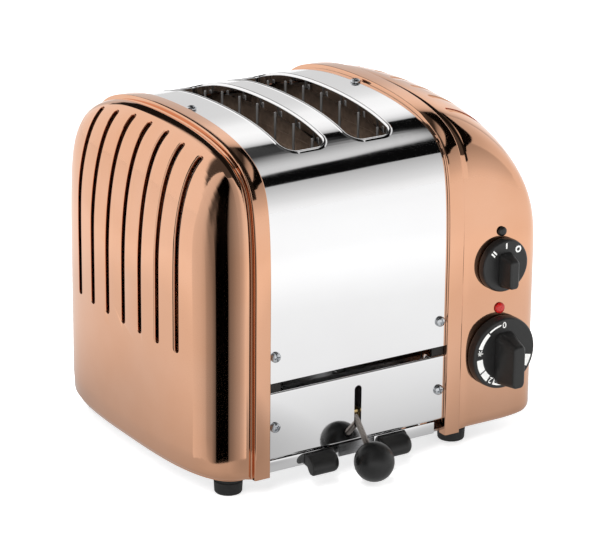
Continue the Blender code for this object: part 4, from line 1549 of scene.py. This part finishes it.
@dataclass
class Controls:
    """Timer and selector knobs with their marks, lens and stud."""

    timer: Knob = field(default_factory=lambda: Knob(
        "timer_control", "timer_knob", Body.TIMER, TIMER_Z, 23.5, 15.0, 14.5, 16.6, 6.8))
    selector: Knob = field(default_factory=lambda: Knob(
        "selector_control", "selector_knob", Body.SELECTOR, SELECTOR_Z, 17.2, 11.4, 9.0, 10.2, 5.4))
    segments: tuple = ((93, 119), (122, 140), (155, 177), (180, 204), (236, 258))
    thaw_turn: float = 80.0
    dot_turn: float = 161.0
    ring_turn: float = -43.0
    strokes: tuple = ((0, (0.0,)), (45, (-0.95, 0.95)))

    @staticmethod
    def swing(mark: Piece, turn: float, radius: float) -> None:
        """Move a mark from the middle of the dial out to a radius at an angle."""
        mark.data.transform(Matrix.Rotation(math.radians(turn), 4, "Z")
                            @ Matrix.Translation((0, radius, 0)))

    def timer_marks(self) -> None:
        """Zero, a band that widens anticlockwise, a two, a dot and a thaw mark."""
        knob = self.timer
        marks = [knob.letter("0", 5.6, 18.8, 2, 0.07)]
        marks.append(knob.plate("band_a", 19.0, 19.9, 9, 36, r1_end=20.2))
        marks.append(knob.plate("band_b", 17.9, 20.3, 39, 72, r1_end=20.9))
        for k, (start, end) in enumerate(self.segments):
            marks.append(knob.plate(f"segment_{k}", 16.6, 20.9, start, end))
        marks.append(knob.letter("2", 5.6, 18.7, 147, 0.07))
        for k in range(3):
            marks.append(knob.letter("|", 4.2, 0.0, 60.0 * k, 0.08))
            self.swing(marks[-1], self.thaw_turn, 19.0)
        knob.print_marks("timer_marks", marks)
        dots = knob.plate("dot", 0.0001, 1.05, 0, 359.9, 0.05)
        self.swing(dots, self.dot_turn, 18.7)
        dots.name = "timer_dot"
        dots.data.transform(knob.place())
        dress(dots, knob.body, KNOB_BLACK, "black_plastic", smooth=30.0)

    def selector_marks(self) -> None:
        """Ring, one stroke and two strokes round the top."""
        knob = self.selector
        ring = knob.plate("mark_off", 1.1, 2.2, 0, 359.9)
        self.swing(ring, self.ring_turn, 13.2)
        marks = [ring]
        for angle, shifts in self.strokes:
            for shift in shifts:
                stroke = Bench.cube("stroke", (-0.5 + shift, 11.3, knob.skirt - 0.1),
                                    (0.5 + shift, 14.9, knob.skirt + 0.02))
                stroke.data.transform(Matrix.Rotation(math.radians(angle), 4, "Z"))
                marks.append(stroke)
        knob.print_marks("selector_marks", marks)

    def build(self) -> None:
        """Make both knobs, their marks, the lamp lens and the index stud."""
        self.timer.build()
        self.selector.build()
        self.timer_marks()
        self.selector_marks()
        lens = [(0, -9), (2.5, -9), (2.5, -0.02), (3.55, 0.0), (3.6, 0.25), (3.45, 0.8),
                (3.0, 1.35), (2.2, 1.68), (1.2, 1.78), (0, 1.8)]
        for node, z, scale, finish, slot in (
                ("neon_lens", LENS_Z, 1.0, LENS, "red_lens"),
                ("index_stud", STUD_Z, 3.1 / 3.6, SATIN_BLACK, "black_plastic")):
            place = Matrix.Translation((CONTROL_X, FACE_Y, z)) @ FORWARD
            obj = Bench.lathe(node + "_fine", [(r * scale, h) for r, h in lens], 40, place)
            dress(obj, Body.BODY, finish, slot, node, smooth=40.0)


# ---- lever ---------------------------------------------------------------------------
@dataclass
class Lever:
    """Ball, threaded rod and block of the lifting lever."""

    mid_x: float = -20.0
    ball_y: float = -117.5
    ball_z: float = 15.0
    ball_r: float = 12.5
    cross_y: float = -98.5
    cross_z: float = 34.8
    rod_r: float = 2.0
    thread_pitch: float = 0.9

    def frame_matrix(self) -> Matrix:
        """Local +Z runs from the ball's middle up the rod.

        Returns:
            The matrix.
        """
        run = Vector((0, self.cross_y - self.ball_y, self.cross_z - self.ball_z))
        turn = run.to_track_quat("Z", "Y").to_matrix().to_4x4()
        return Matrix.Translation((self.mid_x, self.ball_y, self.ball_z)) @ turn

    def build_rod(self) -> None:
        """Threaded rod: a row of turned grooves."""
        length = math.hypot(self.cross_y - self.ball_y, self.cross_z - self.ball_z) + 5.0
        start = self.ball_r - 6.0
        profile = [(0, start), (self.rod_r - 0.35, start)]
        h = start + 0.2
        while h < length - 0.9:
            profile += [(self.rod_r - 0.32, h), (self.rod_r, h + 0.36), (self.rod_r, h + 0.5)]
            h += self.thread_pitch
        profile += [(self.rod_r - 0.32, length - 0.3), (self.rod_r - 0.6, length), (0, length)]
        obj = Bench.lathe("threaded_rod", profile, 28, self.frame_matrix())
        dress(obj, Body.LEVER, ROD_STEEL, "plain_steel", "lever_rod", smooth=60.0)

    def build_ball(self) -> None:
        """Moulded ball with a small flat and a socket for the rod."""
        r = self.ball_r
        flat = math.degrees(math.asin(3.2 / r))
        profile = [(0.0, -r)] + arc((0, 0), r, -88, 90 - flat, 40)
        top = profile[-1][1]
        profile += [(2.7, top + 0.05), (2.35, top - 0.25), (2.3, r - 6.3), (0, r - 6.3)]
        obj = Bench.lathe("lever_ball", profile, 72, self.frame_matrix())
        dress(obj, Body.LEVER, BALL_BLACK, "black_plastic", "ball_knob", smooth=40.0)

    def build(self) -> None:
        """Rod, ball, block and arm."""
        self.build_rod()
        self.build_ball()
        dress(Bench.softened("rod_block", 0.35), Body.LEVER, RAW_BRASS, "brass", "rod_block")
        dress(Bench.softened("lever_arm", 0.25), Body.LEVER, STEEL, "plain_steel", "lever_arm")


# ---- trays ---------------------------------------------------------------------------
@dataclass
class TrayGrip:
    """Black moulded grip clipped on a crumb tray's lip."""

    side: str
    body: Body
    x: float
    length: float = 19.8
    clip_y: float = -97.8
    clip_soft: float = 3.0
    heart: Pair = (-101.5, 16.6)
    left_end: Pair = (1.4, 0.86)
    right_end: Pair = (4.6, 0.50)
    steps: int = 30
    outline: tuple = ((-97.8, 21.4), (-97.8, 14.2), (-101.0, 13.2), (-102.6, 10.9), (-104.6, 9.4),
                      (-106.8, 9.6), (-108.3, 11.3), (-108.6, 14.0), (-107.4, 17.0), (-104.8, 19.6),
                      (-101.4, 21.1))

    def section(self) -> list[Pair]:
        """Smooth section through the outline's points, with the two clip corners kept.

        Returns:
            Points of the section.
        """
        points = [Vector(p) for p in self.outline]
        smooth: list[Pair] = [tuple(points[0]), tuple(points[1])]
        for k in range(1, len(points)):
            a, b = points[k], points[(k + 1) % len(points)]
            before, after = points[k - 1], points[(k + 2) % len(points)]
            for n in range(1, 5):
                t = n / 5
                m0, m1 = (b - before) * 0.5, (after - a) * 0.5
                if k == 1:
                    m0 = b - a
                if k == len(points) - 1:
                    m1 = b - a
                h = ((2 * t ** 3 - 3 * t * t + 1) * a + (t ** 3 - 2 * t * t + t) * m0
                     + (3 * t * t - 2 * t ** 3) * b + (t ** 3 - t * t) * m1)
                smooth.append((min(h.x, self.clip_y), h.y))
            if k < len(points) - 1:
                smooth.append(tuple(b))
        return smooth

    def build(self) -> None:
        """Skin the section along the grip with well rounded ends."""
        section, half = self.section(), self.length / 2
        cy, cz = self.heart
        rings = []
        for k in range(-self.steps, self.steps + 1):
            x = half * math.sin(math.pi / 2 * k / self.steps)
            gap = half - abs(x)
            r, least = self.left_end if x < 0 else self.right_end
            close = math.sqrt(max(0.0, 1 - ((r - gap) / r) ** 2))
            scale = 1.0 if gap > r else least + (1 - least) * close
            ring = []
            for y, z in section:
                keep = max(0.0, min(1.0, (self.clip_y - y) / self.clip_soft))
                s = 1 - (1 - scale) * keep
                ring.append((self.x + x, cy + (y - cy) * s if y < self.clip_y - 0.7 else y,
                             cz + (z - cz) * s))
            rings.append(ring)
        obj = Bench.loft(f"tray_grip_{self.side}_fine", rings)
        dress(obj, self.body, SATIN_BLACK, "black_plastic", f"tray_grip_{self.side}", smooth=44.0)


@dataclass
class Trays:
    """Two crumb trays with their grips."""

    grips: tuple = (("left", Body.TRAY_LEFT, -47.9), ("right", Body.TRAY_RIGHT, 5.6))

    def build(self) -> None:
        """Soften the trays' edges and mould their grips."""
        for side, body, x in self.grips:
            tray = Bench.softened(f"crumb_tray_{side}", 0.22)
            dress(tray, body, CHROME, "bright_steel", f"crumb_tray_{side}")
            TrayGrip(side, body, x).build()


# ---- chamber -------------------------------------------------------------------------
@dataclass
class Chamber:
    """Wire guards, racks, heaters and plates between the castings."""

    wire_r: float = 0.8
    wire_count: int = 7
    sides: int = 14
    pitch: float = 21.1
    pitch_start: float = 2.6
    tip_below: float = 6.3
    level_z: tuple = (104.0, 150.0, 186.0)
    level_span: Pair = (-72.0, 75.0)
    board_half: float = 75.6
    board_steps: int = 24
    winding_half: float = 66.0
    winding_high: float = 0.7
    winding_proud: float = 0.25
    board_below: float = 4.0
    winding_z: tuple = (181.0, 188.5, 196.0, 203.5)

    def board(self, node: str) -> None:
        """Mica board whose top follows the cover, wound with level heater strips.

        Args:
            node: Name of the CAD node.
        """
        low, high = (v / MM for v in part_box(node))
        half, steps = self.board_half, self.board_steps
        depths = [-half + 2 * half * k / steps for k in range(steps + 1)]
        tops = [(y, ARCH.height(self.board_below, y)) for y in depths]
        ring = [(-half, low.z), *tops, (half, low.z)]
        obj = Bench.loft(node + "_fine", [[(x, y, z) for y, z in ring] for x in (low.x, high.x)])
        count = len(obj.data.polygons)
        near, far = low.x - self.winding_proud, high.x + self.winding_proud
        reach = self.winding_half
        strips = [Bench.cube("winding", (near, -reach, z - self.winding_high),
                             (far, reach, z + self.winding_high)) for z in self.winding_z]
        Bench.join(obj, *strips)
        for face in obj.data.polygons[count:]:
            face.material_index = 1
        dress(obj, Body.BODY, MICA, "brown_mica", node, smooth=30.0, inner=RIBBON)

    def guard(self, node: str) -> None:
        """Upright wires whose tips follow the cover, with thinner level wires.

        Args:
            node: Name of the CAD node.
        """
        low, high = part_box(node)
        x, z0, r = (low.x + high.x) / 2 / MM, low.z / MM, self.wire_r
        wires = []
        for k in range(self.wire_count):
            y = (k - self.wire_count // 2) * self.pitch + self.pitch_start
            z1 = ARCH.height(self.tip_below, y)
            path = [(0.0, z0), (r * 0.75, z0 + 0.02), (r, z0 + 0.3), (r, z1 - 0.8),
                    (r * 0.85, z1 - 0.35), (r * 0.45, z1 - 0.08), (0.0, z1)]
            place = Matrix.Translation((x, y, 0))
            wires.append(Bench.lathe(f"wire_{k}", path, self.sides, place))
        for z in self.level_z:
            start, end = ((x, y, z) for y in self.level_span)
            wires.append(Bench.rod("level_wire", start, end, r * 0.6, self.sides))
        obj = Bench.join(*wires)
        obj.name = obj.data.name = node + "_fine"
        dress(obj, Body.BODY, WIRE, "dark_steel", node, smooth=50.0)

    def build(self) -> None:
        """Guards, racks, bars and softened plates."""
        for tag in ("left", "right"):
            for row in ("outer", "inner"):
                self.guard(f"bread_guard_{tag}_{row}")
            self.board(f"heater_board_{tag}")
            dress(Bench.softened(f"bread_rack_{tag}", 0.3), Body.CARRIAGE, WIRE, "dark_steel",
                  f"bread_rack_{tag}")
        self.board("heater_board_centre")
        for node, body in (("lift_crossbar", Body.CARRIAGE), ("pivot_shaft", Body.BODY)):
            low, high = (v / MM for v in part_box(node))
            r, y, z = (high.z - low.z) / 2, (low.y + high.y) / 2 - SHIFT_Y, (low.z + high.z) / 2
            ends = [(0, low.x), (r - 0.3, low.x), (r, low.x + 0.3),
                    (r, high.x - 0.3), (r - 0.3, high.x), (0, high.x)]
            place = Matrix.Translation((0, y, z)) @ Matrix.Rotation(math.pi / 2, 4, "Y")
            bar = Bench.lathe(node + "_fine", ends, 32, place)
            dress(bar, body, SHAFT, "plain_steel", node, smooth=30.0)


@dataclass
class Underside:
    """Base plate, feet, cable gland and electrical blocks."""

    foot_x: tuple = (-101.5, 63.1)
    foot_y: float = 80.5
    foot_r: float = 9.0
    gland_back: float = 98.6
    rib_pitch: float = 1.5

    def feet(self) -> None:
        """Turn one foot with a worn rim and a groove, and copy it."""
        r = self.foot_r
        profile = [(0, 0.5), (2.2, 0.5), (2.7, 0.02), (r - 1.6, 0.0), (r - 0.9, 0.3),
                   (r - 0.45, 1.0), (r - 0.1, 7.4), (r - 0.1, 7.8), (r - 0.5, 8.1),
                   (r - 0.5, 8.7), (r, 9.0), (r, 13.0), (r - 0.3, 13.2), (0, 13.2)]
        model = Bench.lathe("foot_model", profile, 48)
        for side, x in zip(("left", "right"), self.foot_x):
            for end, y in (("front", -self.foot_y), ("back", self.foot_y)):
                node = f"foot_{side}_{end}"
                foot = Bench.copy(model, node + "_fine", Matrix.Translation((x, y, 0)))
                dress(foot, Body.BODY, RUBBER, "black_rubber", node, smooth=40.0)
        bpy.data.objects.remove(model, do_unlink=True)

    def gland(self) -> None:
        """Turn the cable gland with a ribbed neck."""
        back = self.gland_back
        profile = [(4.0, back - 8), (6.1, back - 8), (6.1, back + 0.3), (8.6, back + 0.3),
                   (9.0, back + 0.7), (9.0, back + 3.4), (8.4, back + 4.2), (7.0, back + 4.8)]
        h = back + 5.2
        while h < back + 10.6:
            profile += [(6.9, h), (6.9, h + 0.7), (6.3, h + 0.9), (6.3, h + 1.3)]
            h += self.rib_pitch
        profile += [(6.2, back + 11.7), (5.6, back + 12.4), (4.4, back + 12.4), (4.0, back + 12.0)]
        place = Matrix.Translation((CONTROL_X, 0, GLAND_Z)) @ BACKWARD
        obj = Bench.lathe("cable_gland_fine", profile, 48, place, closed=True)
        dress(obj, Body.BODY, SATIN_BLACK, "black_plastic", "cable_gland", smooth=40.0)

    def build(self) -> None:
        """Feet, gland, base plate and blocks."""
        self.feet()
        self.gland()
        dress(Bench.softened("base_plate", 0.25), Body.BODY, STEEL, "plain_steel", "base_plate")
        for node in ("terminal_block", "timer_body", "selector_switch"):
            dress(Bench.softened(node, 0.5), Body.BODY, CERAMIC, "cream_ceramic", node)


def dress_cad_nodes() -> None:
    """Give every CAD node that stays in view its procedural finish."""
    kinds = {"heater_ribbon": RIBBON, "arch_frame": FRAME}
    for name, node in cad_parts.items():
        if node.hide_render:
            continue
        finish = next((kinds[kind] for kind in kinds if name.startswith(kind)), STEEL)
        for slot in node.material_slots:
            slot.material = finish.material()
        LOG.info("dressed %s", name)


# ---- studio --------------------------------------------------------------------------
class Glow(Graph):
    """Shader graph of a studio surface that is only light, made of arithmetic."""

    def __init__(self, tree: bpy.types.NodeTree) -> None:
        """Start on an empty tree."""
        super().__init__(tree)
        tree.nodes.clear()

    @classmethod
    def coat(cls, obj: Piece, name: str) -> "Glow":
        """Give a card a new empty material and open its graph.

        Args:
            obj: Piece to work on.
            name: Name of the new piece.

        Returns:
            The open graph.
        """
        mat = bpy.data.materials.new(name)
        mat.use_nodes = True
        obj.data.materials.append(mat)
        return cls(mat.node_tree)

    def axes(self, coordinate: str) -> tuple[Socket, ...]:
        """The three parts of a coordinate.

        Args:
            coordinate: Which coordinate.

        Returns:
            Pairs of ends or parts.
        """
        coord, split = self.new("TexCoord"), self.new("SeparateXYZ")
        self.link(coord.outputs[coordinate], split.inputs[0])
        return tuple(split.outputs)

    def times(self, one: Socket, two: Socket | float) -> Socket:
        """Product of two values."""
        return self.calc("MULTIPLY", one, two)

    def less(self, one: Socket | float, two: Socket | float) -> Socket:
        """First value less the second."""
        return self.calc("SUBTRACT", one, two)

    def total(self, *terms: tuple[Socket, float]) -> Socket:
        """Sum of sockets times numbers.

        Args:
            terms: Sockets and their weights.

        Returns:
            The sum.
        """
        value, *rest = [self.times(socket, number) for socket, number in terms]
        for term in rest:
            value = self.calc("ADD", value, term)
        return value

    def length(self, one: Socket, two: Socket) -> Socket:
        """Length of the line that runs one way along X and two along Y."""
        return self.calc("SQRT", self.calc("ADD", self.times(one, one), self.times(two, two)))

    def degrees(self, kind: str, *values: Socket) -> Socket:
        """Angle from an arithmetic node, in degrees."""
        return self.times(self.calc(kind, *values), 180 / math.pi)

    def step(self, value: Socket, edge: float, soft: float) -> Socket:
        """0 below an edge and 1 above it, over a soft width."""
        return self.spread(value, edge - soft, edge + soft, curve="SMOOTHSTEP")

    def band(self, value: Socket, low: float, high: float, soft: float) -> Socket:
        """1 between two limits, falling to 0 over a soft edge."""
        return self.times(self.step(value, low, soft),
                          self.less(1.0, self.step(value, high, soft)))

    def ramp(self, value: Socket, stops: Sequence[Pair], top: float = 2.0) -> Socket:
        """Straight lines through (value, level) stops, level at either end beyond them.

        Args:
            value: What the stops are measured along.
            stops: Values and the levels there, lowest value first.
            top: Level that full white stands for.

        Returns:
            The level.
        """
        low, high = stops[0][0], stops[-1][0]
        node = self.new("ValToRGB")
        elements = node.color_ramp.elements
        while len(elements) < len(stops):
            elements.new(0.5)
        for element, (at, _) in zip(elements, stops):
            element.position = (at - low) / (high - low)
        for element, (_, level) in zip(elements, stops):
            element.color = (level / top, level / top, level / top, 1.0)
        self.link(self.spread(value, low, high), node.inputs[0])
        return self.times(node.outputs[0], top)

    def put(self, under: Socket, mask: Socket, over: Socket | float) -> Socket:
        """Lay one value over another where a mask is 1."""
        return self.calc("ADD", self.times(under, self.less(1.0, mask)), self.times(mask, over))

    def emit(self, value: Socket, front_only: bool = False) -> None:
        """Send a level out as light.

        Args:
            value: The level.
            front_only: True leaves the back of the card clear.
        """
        out, light = self.new("OutputMaterial"), self.new("Emission")
        self.link(value, light.inputs["Strength"])
        shown = light.outputs[0]
        if front_only:
            mix = self.new("MixShader")
            self.link(self.new("NewGeometry").outputs["Backfacing"], mix.inputs[0])
            self.link(self.new("BsdfTransparent").outputs[0], mix.inputs[1])
            self.link(shown, mix.inputs[2])
            shown = mix.outputs[0]
        self.link(shown, out.inputs[0])


@dataclass
class Studio:
    """Pale floor, soft lights, sky panels, a curved card and the camera."""

    azimuth: float = -31.884
    elevation: float = 19.648
    roll: float = 0.3644
    target: Point = (-0.01998, 0.01098, 0.0975)
    distance: float = 1.88256
    sensor: float = 36.0
    lens: float = 175.5734
    shift: Pair = (0.0543863, -0.0014075)
    wall: tuple = ((-5.0, 1.05), (0.0, 1.05), (13.0, 0.95), (20.0, 0.88), (30.0, 0.75),
                   (45.0, 0.62), (90.0, 0.6))
    front: tuple = ((-4.0, 1.0), (-1.0, 0.95), (2.0, 0.89), (6.0, 0.80), (11.0, 0.745),
                    (16.0, 0.70), (21.0, 0.68), (34.0, 0.67))
    front_turns: Pair = (-75.0, -20.0)
    hood: tuple = ((-178.0, 26.0), (-75.0, 27.0), (-55.0, 30.0), (-49.0, 35.0), (-40.0, 38.0),
                   (30.0, 38.0))
    hood_turns: Pair = (-178.0, 50.0)
    hood_level: float = 0.003
    side_plane: Point = (-0.8346, 0.0635, 0.547)
    overhead_rise: float = 26.0
    overhead_slant: Point = (-3.4, 1.0, 1.70)
    overhead: tuple = ((-0.4, 0.68), (-0.1, 0.66), (0.02, 0.57), (0.12, 0.44), (0.20, 0.30),
                       (0.26, 0.13), (0.32, 0.045), (0.46, 0.05), (0.52, 0.08))
    crest_y: float = 0.512
    crest_turns: Pair = (10.0, 80.0)
    crest: tuple = ((0.50, 0.30), (0.53, 0.60), (0.56, 0.85), (0.60, 1.0), (0.66, 1.08),
                    (0.73, 1.0), (0.76, 0.85), (0.79, 0.75), (0.84, 0.72))
    beside_y: float = 0.42
    beside_turn: float = 80.0
    beside_level: float = 1.08
    strip_x: Pair = (0.15, 0.437)
    strip_rise: float = 14.0
    strip_level: float = 0.012
    floor_radius: float = 9.0
    floor_glow: float = 0.62
    shade_radius: float = 8.0
    shade_z: float = 0.0004
    footprint: Pair = (0.122, 0.100)
    # Floor level by distance from the footprint: low close in as painted shadow of the toaster.
    near_floor_shadow: tuple = ((0.0, 0.5), (0.060, 0.72), (0.110, 0.86), (0.160, 0.93), (0.200, 0.94),
                         (0.250, 0.97), (0.300, 1.07), (0.345, 1.12), (0.400, 1.14),
                         (0.500, 1.09), (1.5, 1.05), (8.0, 1.0))
    # A painted shadow patch off the left front: its middle and its level by distance.
    blob_middle: Pair = (-0.080, -0.190)
    shadow_blob: tuple = ((0.0, 0.55), (0.045, 0.7), (0.085, 1.0), (0.1, 1.0))
    card_middle: Pair = (-0.100, -0.080)
    card_radius: float = 0.072
    card_height: float = 0.50
    card_gap: Pair = (-70.0, 150.0)
    card_top: Pair = (0.47, 0.03)
    card_top_level: float = 0.62
    card: tuple = ((-210.0, 0.92), (-205.0, 0.86), (-194.0, 0.80), (-186.0, 0.68), (-180.0, 0.36),
                   (-173.0, 0.06), (-170.0, 0.0), (-135.0, 0.0), (-126.0, 0.24), (-108.0, 0.38),
                   (-83.0, 0.62), (-70.0, 1.0))
    lamps: tuple = (("key", (-1.6, -1.4, 2.2), 1.4, 34.0), ("fill", (1.8, -0.8, 1.6), 1.6, 16.0),
                    ("back", (0.3, 2.0, 2.2), 1.6, 14.0), ("top", (-0.55, -0.25, 1.7), 0.6, 16.0))
    lamp_target: Point = (0.0, 0.0, 0.1)

    def sky(self) -> None:
        """White walls, a dark band above the front and a grey panel overhead."""
        world = bpy.data.worlds.new("soft_sky")
        bpy.context.scene.world = world
        world.use_nodes = True
        glow = Glow(world.node_tree)
        x, y, z = glow.axes("Generated")
        turn, rise = glow.degrees("ARCTAN2", y, x), glow.degrees("ARCSINE", z)
        value = glow.ramp(rise, self.wall)
        before = glow.band(turn, *self.front_turns, 4.0)
        value = glow.put(value, before, glow.times(value, glow.ramp(rise, self.front)))
        over_hood = glow.step(glow.less(rise, glow.ramp(turn, self.hood)), 0.0, 0.6)
        hood = glow.times(over_hood, glow.band(turn, *self.hood_turns, 2.0))
        value = glow.put(value, hood, self.hood_level)
        side = glow.total(*zip((x, y, z), self.side_plane))
        above = glow.times(glow.step(side, 0.0, 0.01), glow.step(rise, self.overhead_rise, 0.8))
        lean_x, lean_y, start = self.overhead_slant
        slant = glow.calc("ADD", glow.total((x, lean_x), (y, lean_y)), start)
        value = glow.put(value, above, glow.ramp(slant, self.overhead))
        behind = glow.times(glow.step(y, self.crest_y, 0.008),
                            glow.band(turn, *self.crest_turns, 3.0))
        value = glow.put(value, behind, glow.ramp(y, self.crest))
        beside = glow.times(glow.step(y, self.beside_y, 0.04),
                            glow.step(turn, self.beside_turn, 3.0))
        value = glow.put(value, beside, self.beside_level)
        near, far = self.strip_x
        strip = glow.times(glow.step(x, near, 0.03), glow.less(1.0, glow.step(x, far, 0.006)))
        value = glow.put(value, glow.times(strip, glow.step(rise, self.strip_rise, 1.0)),
                         self.strip_level)
        out, back = glow.new("OutputWorld"), glow.new("Background")
        glow.link(value, back.inputs["Strength"])
        back.inputs["Color"].default_value = (1.0, 0.995, 0.99, 1.0)
        glow.link(back.outputs[0], out.inputs[0])

    def disc(self, name: str, radius: float, count: int, z: float = 0.0) -> Piece:
        """Lay a round sheet level at a height, in metres.

        Args:
            name: Name of the new piece.
            radius: Radius.
            count: Number of steps.
            z: Height above the table.

        Returns:
            The piece.
        """
        Bench.tidy()
        bpy.ops.mesh.primitive_circle_add(vertices=count, radius=radius, fill_type="NGON",
                                          location=(0, 0, z))
        return Bench.adopt(name)

    def floor(self) -> None:
        """Wide pale paper floor that gives a little light of its own."""
        floor = self.disc("studio_floor", self.floor_radius, 96)
        nodes = Nodes("floor_paper")
        paper = nodes.remap(nodes.noise(160.0, 4.0), 0.0, 1.0)
        nodes.to("Base Color", nodes.blend(paper, (0.93, 0.93, 0.93), (0.95, 0.95, 0.95)))
        nodes.set(Roughness=0.9, Specular_IOR_Level=0.0, Emission_Strength=self.floor_glow,
                  Emission_Color=(1, 1, 1, 1))
        floor.data.materials.append(nodes.mat)

    @staticmethod
    def mirrored_only(obj: Piece) -> None:
        """Show a studio card in the plating and nowhere else.

        Args:
            obj: Piece to work on.
        """
        obj.visible_camera = obj.visible_diffuse = obj.visible_shadow = False
        obj.visible_transmission = obj.visible_volume_scatter = False

    def shade(self) -> None:
        """What the plating sees of the floor: pale far off, darker by the toaster with painted
        shadow.
        """
        plane = self.disc("floor_shade", self.shade_radius, 64, self.shade_z)
        glow = Glow.coat(plane, "floor_glow")
        x, y, _ = glow.axes("Object")
        outside = [glow.calc("MAXIMUM", glow.less(glow.calc("ABSOLUTE", axis), half), 0.0)
                   for axis, half in zip((x, y), self.footprint)]
        from_blob = [glow.less(axis, middle) for axis, middle in zip((x, y), self.blob_middle)]
        # Painted shadow: floor light falls off by the toaster and in a patch off its left front.
        glow.emit(glow.times(glow.ramp(glow.length(*outside), self.near_floor_shadow),
                             glow.ramp(glow.length(*from_blob), self.shadow_blob)))
        self.mirrored_only(plane)

    def flag(self) -> None:
        """Curved card round the left front corner that draws its dark upright line."""
        Bench.tidy()
        bpy.ops.mesh.primitive_cylinder_add(
            vertices=120, radius=self.card_radius, depth=self.card_height,
            end_fill_type="NOTHING", location=(*self.card_middle, self.card_height / 2))
        card = Bench.adopt("corner_card")
        cx, cy = self.card_middle
        low, high = (math.radians(a) for a in self.card_gap)
        Bench.pick(card, Part.FACE, lambda f, m: low < math.atan2(m.y - cy, m.x - cx) < high)
        bpy.ops.mesh.delete(type="FACE")
        Bench.tidy()
        glow = Glow.coat(card, "card_glow")
        x, y, z = glow.axes("Object")
        angle = glow.degrees("ARCTAN2", glow.less(y, cy), glow.less(x, cx))
        angle = glow.less(angle, glow.times(glow.calc("GREATER_THAN", angle, 0.0), 360.0))
        glow.emit(glow.put(glow.ramp(angle, self.card), glow.step(z, *self.card_top),
                           self.card_top_level), front_only=True)
        self.mirrored_only(card)

    def lights(self) -> None:
        """Broad key from the upper left front and weaker lights, unseen in the plating."""
        for name, place, size, power in self.lamps:
            data = bpy.data.lights.new(name, "AREA")
            data.size, data.energy = size, power
            lamp = bpy.data.objects.new(name, data)
            lamp.location = place
            aim = Vector(self.lamp_target) - Vector(place)
            lamp.rotation_euler = aim.to_track_quat("-Z", "Y").to_euler()
            lamp.visible_glossy = False
            bpy.context.scene.collection.objects.link(lamp)

    def camera(self) -> None:
        """Camera at the viewing angle the part is shown from."""
        a, e = math.radians(self.azimuth), math.radians(self.elevation)
        back = Vector((math.sin(a) * math.cos(e), -math.cos(a) * math.cos(e), math.sin(e)))
        data = bpy.data.cameras.new("camera")
        data.lens, data.sensor_width = self.lens, self.sensor
        data.shift_x, data.shift_y = self.shift
        data.clip_start, data.clip_end = 0.05, 60.0
        cam = bpy.data.objects.new("camera", data)
        cam.location = Vector(self.target) + back * self.distance
        turn = (-back).to_track_quat("-Z", "Y").to_matrix()
        turn = turn @ Matrix.Rotation(math.radians(self.roll), 3, "Z")
        cam.rotation_euler = turn.to_euler()
        bpy.context.scene.collection.objects.link(cam)
        bpy.context.scene.camera = cam

    def build(self) -> None:
        """Set the whole studio."""
        bpy.context.scene.view_settings.view_transform = "Standard"
        for part in (self.sky, self.floor, self.shade, self.flag, self.lights, self.camera):
            part()


def main() -> None:
    """Build every sub-assembly in order."""
    logging.basicConfig(level=logging.INFO, format="%(message)s")
    Studio().build()
    EndCasting("copper_end_left", "left_end_casting", edge_x=-84.0, side=-1, reach=32.2, bow=0.0,
               side_power=2.9, top_power=2.4, vent_end=-107.0, pad=0.8).build()
    holes = [((CONTROL_X, -110.0, z), (CONTROL_X, -90.0, z), r)
             for z, r in ((TIMER_Z, 3.6), (SELECTOR_Z, 3.6), (LENS_Z, 2.9), (STUD_Z, 2.4))]
    holes.append(((CONTROL_X, 90.0, GLAND_Z), (CONTROL_X, 112.0, GLAND_Z), 6.5))
    EndCasting("copper_end_right", "right_end_casting", edge_x=44.0, side=1, reach=62.5, bow=12.0,
               side_power=8.0, top_power=2.0, vent_end=66.0).build(holes)
    Cover().build()
    LowerPanel("lower_panel_front", "lower_front_panel", True).build()
    LowerPanel("lower_panel_back", "lower_back_panel", False).build()
    Screws().build()
    Controls().build()
    Lever().build()
    Trays().build()
    Chamber().build()
    Underside().build()
    dress_cad_nodes()


if __name__ == "__main__":
    main()
